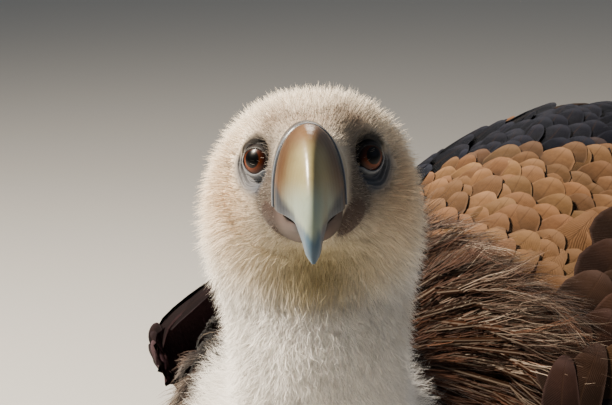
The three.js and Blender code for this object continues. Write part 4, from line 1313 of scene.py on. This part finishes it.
leg_finish, start, marking, where = marked_finish("scaly_leg_skin")
scales = start.add("ShaderNodeTexVoronoi", {"Vector": where, "Scale": 420.0}, feature="DISTANCE_TO_EDGE")
dust = where.noise(150.0, 5.0)
seam = scales.within(0.0, 0.16)
close(start, {
    "Base Color": (seam * 0.45 + dust * 0.4 + 0.35).mix((0.01, 0.009, 0.008, 1), marking),
    "Roughness": 0.5 + dust * 0.3,
    "Normal": (seam + dust * 0.3).bump(0.7, 0.0006),
})
claw_finish, start, marking, where = marked_finish("claw_horn")
grain = where.noise(300.0, 5.0)
close(start, {
    "Base Color": (grain * 0.8 + 0.5).mix(BLACK, marking),
    "Roughness": 0.25 + grain * 0.25,
    "Normal": grain.bump(0.3, 0.0003),
    "Coat Weight": 0.3,
    "Coat Roughness": 0.2,
})


def joined(shells):
    """Several closed shells as one list of points and one of faces."""
    starts = np.cumsum([0] + [len(points) for points, _ in shells[:-1]])
    quads = [quads + start for (_, quads), start in zip(shells, starts)]
    return np.concatenate([points for points, _ in shells]), np.concatenate(quads)


def toe_and_claw(side, degrees, length, thick, claw_length):
    """The closed shells of a toe and of its claw.

    The toe is a limb straight out from the foot's centre, swollen at its pads, with scutes on top and flat
    where it meets the ground. The claw is a taper along an arc from the toe's end down to the ground.
    """
    angle = math.radians(degrees)
    heading = np.array((math.sin(angle) * side, -math.cos(angle), 0))
    sideways = (math.cos(angle) * side, math.sin(angle), 0)
    centre = np.array((FOOT_CENTRE[0] * side, FOOT_CENTRE[1], 0))
    way = np.linspace(0, 1, 9)
    pad = 1 + 0.13 * np.cos(way * 6 * np.pi + np.pi) - 0.28 * way
    arch = 0.0063 + 0.005 * np.sin(np.pi * np.minimum(way * 1.2, 1)) * (1 - way) + 0.0006 * way
    middle = centre + np.outer(way * length, heading) + np.outer(arch, (0, 0, 1))
    loop, place = loops(np.linspace(0, 8, 70), 40)
    top = smooth(-np.sin(loop * 2 * np.pi), -0.1, 0.6)
    scutes = 0.0004 * top * np.abs(np.sin(place * np.pi * 2.2)) ** 0.5 - 0.0003
    toe = limb_surface(np.c_[middle, thick * pad, thick * pad], loop, place, sideways, scutes)
    toe[..., 2] = np.maximum(toe[..., 2], 0.0)

    sweep = way * CLAW_SWEEP
    reach = length - 0.0015 + claw_length * 0.75 * np.sin(sweep)
    half = thick * 0.56 * (1 - way) ** 0.7 + 0.00035
    height = 0.012 - 0.0108 * (1 - np.cos(sweep)) * 1.2 + 0.003 * np.sin(way * np.pi)
    height = np.maximum(height, 0.0012 + half)
    middle = centre + np.outer(reach, heading) + np.outer(height, (0, 0, 1))
    loop, place = loops(np.linspace(0, 8, 40), 32)
    return shell(toe), shell(limb_surface(np.c_[middle, half * 0.85, half], loop, place, sideways))


for side, label in SIDES.items():
    loop, place = loops(np.linspace(0, 5, 40), 64)
    flesh, flesh_quads = shell(thigh_surface(side)(loop, place, -0.006))
    piece(
        f"thigh_flesh_{label}", flesh, flesh_quads, wing_flesh, "brown_feather", (f"thigh_{label}",),
        colours=np.full((len(flesh), 3), linear(THIGH_FLESH)),
    )
    a, b = courses(thigh_surface(side), (0, 1), (0.1, 4.3), lambda b: 0.017 - 0.0022 * b)
    many = len(a)
    size = (0.017 - 0.0022 * b) / 0.017
    feathers(
        f"thigh_feathers_{label}", thigh_surface(side), a, b, rng.uniform(0.038, 0.048, many) * size,
        rng.uniform(0.022, 0.028, many) * size, (-0.007, rng.uniform(-0.001, 0.001, many)),
        varied(THIGH_TAN, many), np.stack([a % 1, b / 5], -1), turn=rng.normal(0, 0.12, many), flip=side,
        limit=(0.0, 5.0),
    )

    loop, place = loops(np.linspace(0, 6, 130), 48)
    front = smooth(-np.sin(loop * 2 * np.pi), -0.1, 0.6)
    scute = 0.0004 * front * np.abs(np.sin(place * 2 * np.pi * 1.9)) ** 0.5
    shank, shank_quads = shell(limb_surface(mirrored(SHANK, side), loop, place, grow=scute - 0.0002))
    piece(
        f"shank_skin_{label}", shank, shank_quads, leg_finish, "leg_skin", (f"shank_{label}",),
        colours=with_ends(two_tone(LEG_GREY, LEG_PALE, 0.6 * front)),
    )

    foot_parts = [shell(limb_surface(mirrored(SOLE, side), *loops(np.linspace(0, 2, 14), 48)))]
    for name, *sizes in TOES:
        toe, (claw, claw_quads) = toe_and_claw(side, *sizes)
        foot_parts.append(toe)
        piece(
            f"claw_horn_{name}_{label}", claw, claw_quads, claw_finish, "claw_horn",
            (f"claw_{label}_{name}",), colours=np.full((len(claw), 3), linear(CLAW_DARK)),
        )
    foot, foot_quads = joined(foot_parts)
    piece(
        f"foot_skin_{label}", foot, foot_quads, leg_finish, "leg_skin", (f"foot_{label}",),
        colours=np.full((len(foot), 3), linear(LEG_GREY) * FOOT_LIGHT),
    )

# ---- Ruff -------------------------------------------------------------------------------------------------
# A collar of long lance-shaped feathers springs from the root of the neck and falls over the shoulders. Each
# is loose and wispy, brown with a pale streak along the shaft, and paler on the bird's right breast.
RUFF_ROOT, RUFF_TIPS, RUFF_BREAST = 8.1, 5.95, 0.45
RUFF_BROWN, RUFF_PALE, RUFF_STREAK, RUFF_SHADOW_BLACK = 0x462A1A, 0x8A8074, 0xC0AE9A, 0x0E0A0A
RUFF_COUNT = 400
BARBS_EACH, BARB_PIECES = 140, 3

ruff_finish = vane_finish("ruff_feather", RUFF_STREAK, 0.25, 0.25, 0.45, 0.3)


def ruff_surface(turns, out, lift):
    """The collar's sheet: out runs from the roots at 0 to the tips at 1, shorter over the breast."""
    breast = 1 - RUFF_BREAST * smooth(-np.sin(turns * 2 * np.pi), -0.2, 1)
    places = RUFF_ROOT + (RUFF_TIPS - RUFF_ROOT) * out * breast
    swell = 0.004 + 0.013 * np.sin(np.clip(out, 0, 1) * np.pi * 0.8)
    return body_surface(turns, places, lift + swell, 1.0)[0]


layer = rng.random(RUFF_COUNT)
ruff_turn = (np.arange(RUFF_COUNT) * 0.618034 + rng.normal(0, 0.004, RUFF_COUNT)) % 1
right_side = smooth(ruff_turn, 0.27, 0.33) * smooth(-ruff_turn, -0.46, -0.42)
ruff_out = 0.42 * (1 - layer) - 0.14 - 0.40 * left_side(ruff_turn)
over_breast = smooth(-np.sin(ruff_turn * 2 * np.pi), 0, 1)
ruff_length = rng.uniform(0.095, 0.150, RUFF_COUNT) * (1 - 0.25 * over_breast)
ruff_length = ruff_length * (1 - 0.75 * right_side) * (1 + 0.15 * left_side(ruff_turn))
down_side = np.cos(ruff_turn * 2 * np.pi)
fall = -0.85 * down_side + rng.normal(0, 0.13, RUFF_COUNT)
pale_side = smooth(ruff_turn, 0.43, 0.48)[:, None] * smooth(-ruff_turn, -0.80, -0.62)[:, None]
ruff_colour = varied(RUFF_BROWN, RUFF_COUNT) * rng.uniform(0.45, 1.75, (RUFF_COUNT, 1))
ruff_colour = ruff_colour * (1 - pale_side) + varied(RUFF_PALE, RUFF_COUNT) * 1.6 * pale_side
# Painted shade: on the bird's right, over the bend of its wing, the ruff is near black.
ruff_colour = blended(ruff_colour, right_side, RUFF_SHADOW_BLACK)
ruff_lift = (-0.011 + 0.002 * layer, 0.001 + 0.006 * layer - 0.014 * right_side)
ruff_width = rng.uniform(0.009, 0.013, RUFF_COUNT)
ruff_uv = np.stack([ruff_turn, (RUFF_ROOT - 2 * ruff_out) / BODY_END], -1)
line, along, normals = feathers(
    "ruff_feathers", ruff_surface, ruff_turn, ruff_out, ruff_length, ruff_width * 0.4, ruff_lift,
    ruff_colour * 0.6, ruff_uv, outline=pointed, turn=fall, curve=-0.25 * down_side, arch=0.005, camber=0.3,
    flip=-1, finish=ruff_finish, slot="ruff_feather", replaces=("ruff",), limit=(-0.8, 1.04),
)
# Loose barbs cover every feather and fray its outline, pale along the shaft and brown to the sides.
which = np.repeat(np.arange(RUFF_COUNT), BARBS_EACH)
many = len(which)
share = rng.uniform(0.0, 0.97, many)
at = np.interp(share, VANE_LENGTHS, np.arange(VANE_ROWS))
low = np.minimum(np.floor(at).astype(int), VANE_ROWS - 2)
f = (at - low)[:, None]
aside = rng.uniform(-1, 1, (many, 1))
barb_along, barb_normal = along[which, low], normals[which, low]
barb_side = np.cross(barb_normal, barb_along)
half = (ruff_width[which] * 0.5 * pointed(share))[:, None]
barb_root = line[which, low] * (1 - f) + line[which, low + 1] * f + barb_side * aside * half * 0.8
splay = aside * rng.uniform(0.00, 0.16, (many, 1)) + rng.normal(0, 0.03, (many, 1))
barb_lie = unit(barb_along + barb_side * splay)
streaked = smooth(-np.abs(aside[:, 0] - 0.2), -0.70, -0.20) * smooth(share, 0.10, 0.40)
# The near-black painted shade on the bird's right carries no streaks.
streaked = streaked * (rng.uniform(0.0, 1.0, RUFF_COUNT) ** 1.5 * (1 - right_side))[which]
barb_tint = ruff_colour[which] * rng.uniform(0.7, 1.25, (many, 1))
barb_tint = blended(barb_tint, streaked * 0.85, RUFF_STREAK)
barb_length = rng.uniform(0.018, 0.042, many) * (1 - 0.92 * right_side[which])
strands(
    "ruff_barbs", barb_root + barb_normal * 0.0008, barb_normal, barb_lie, barb_length,
    rng.uniform(0.00, 0.16, many), rng.uniform(0.0, 0.12, many), rng.uniform(0.04, 0.11, many),
    rng.uniform(0.00028, 0.00055, many), barb_tint, 0.7, ruff_uv[which], 5, BARB_PIECES,
)
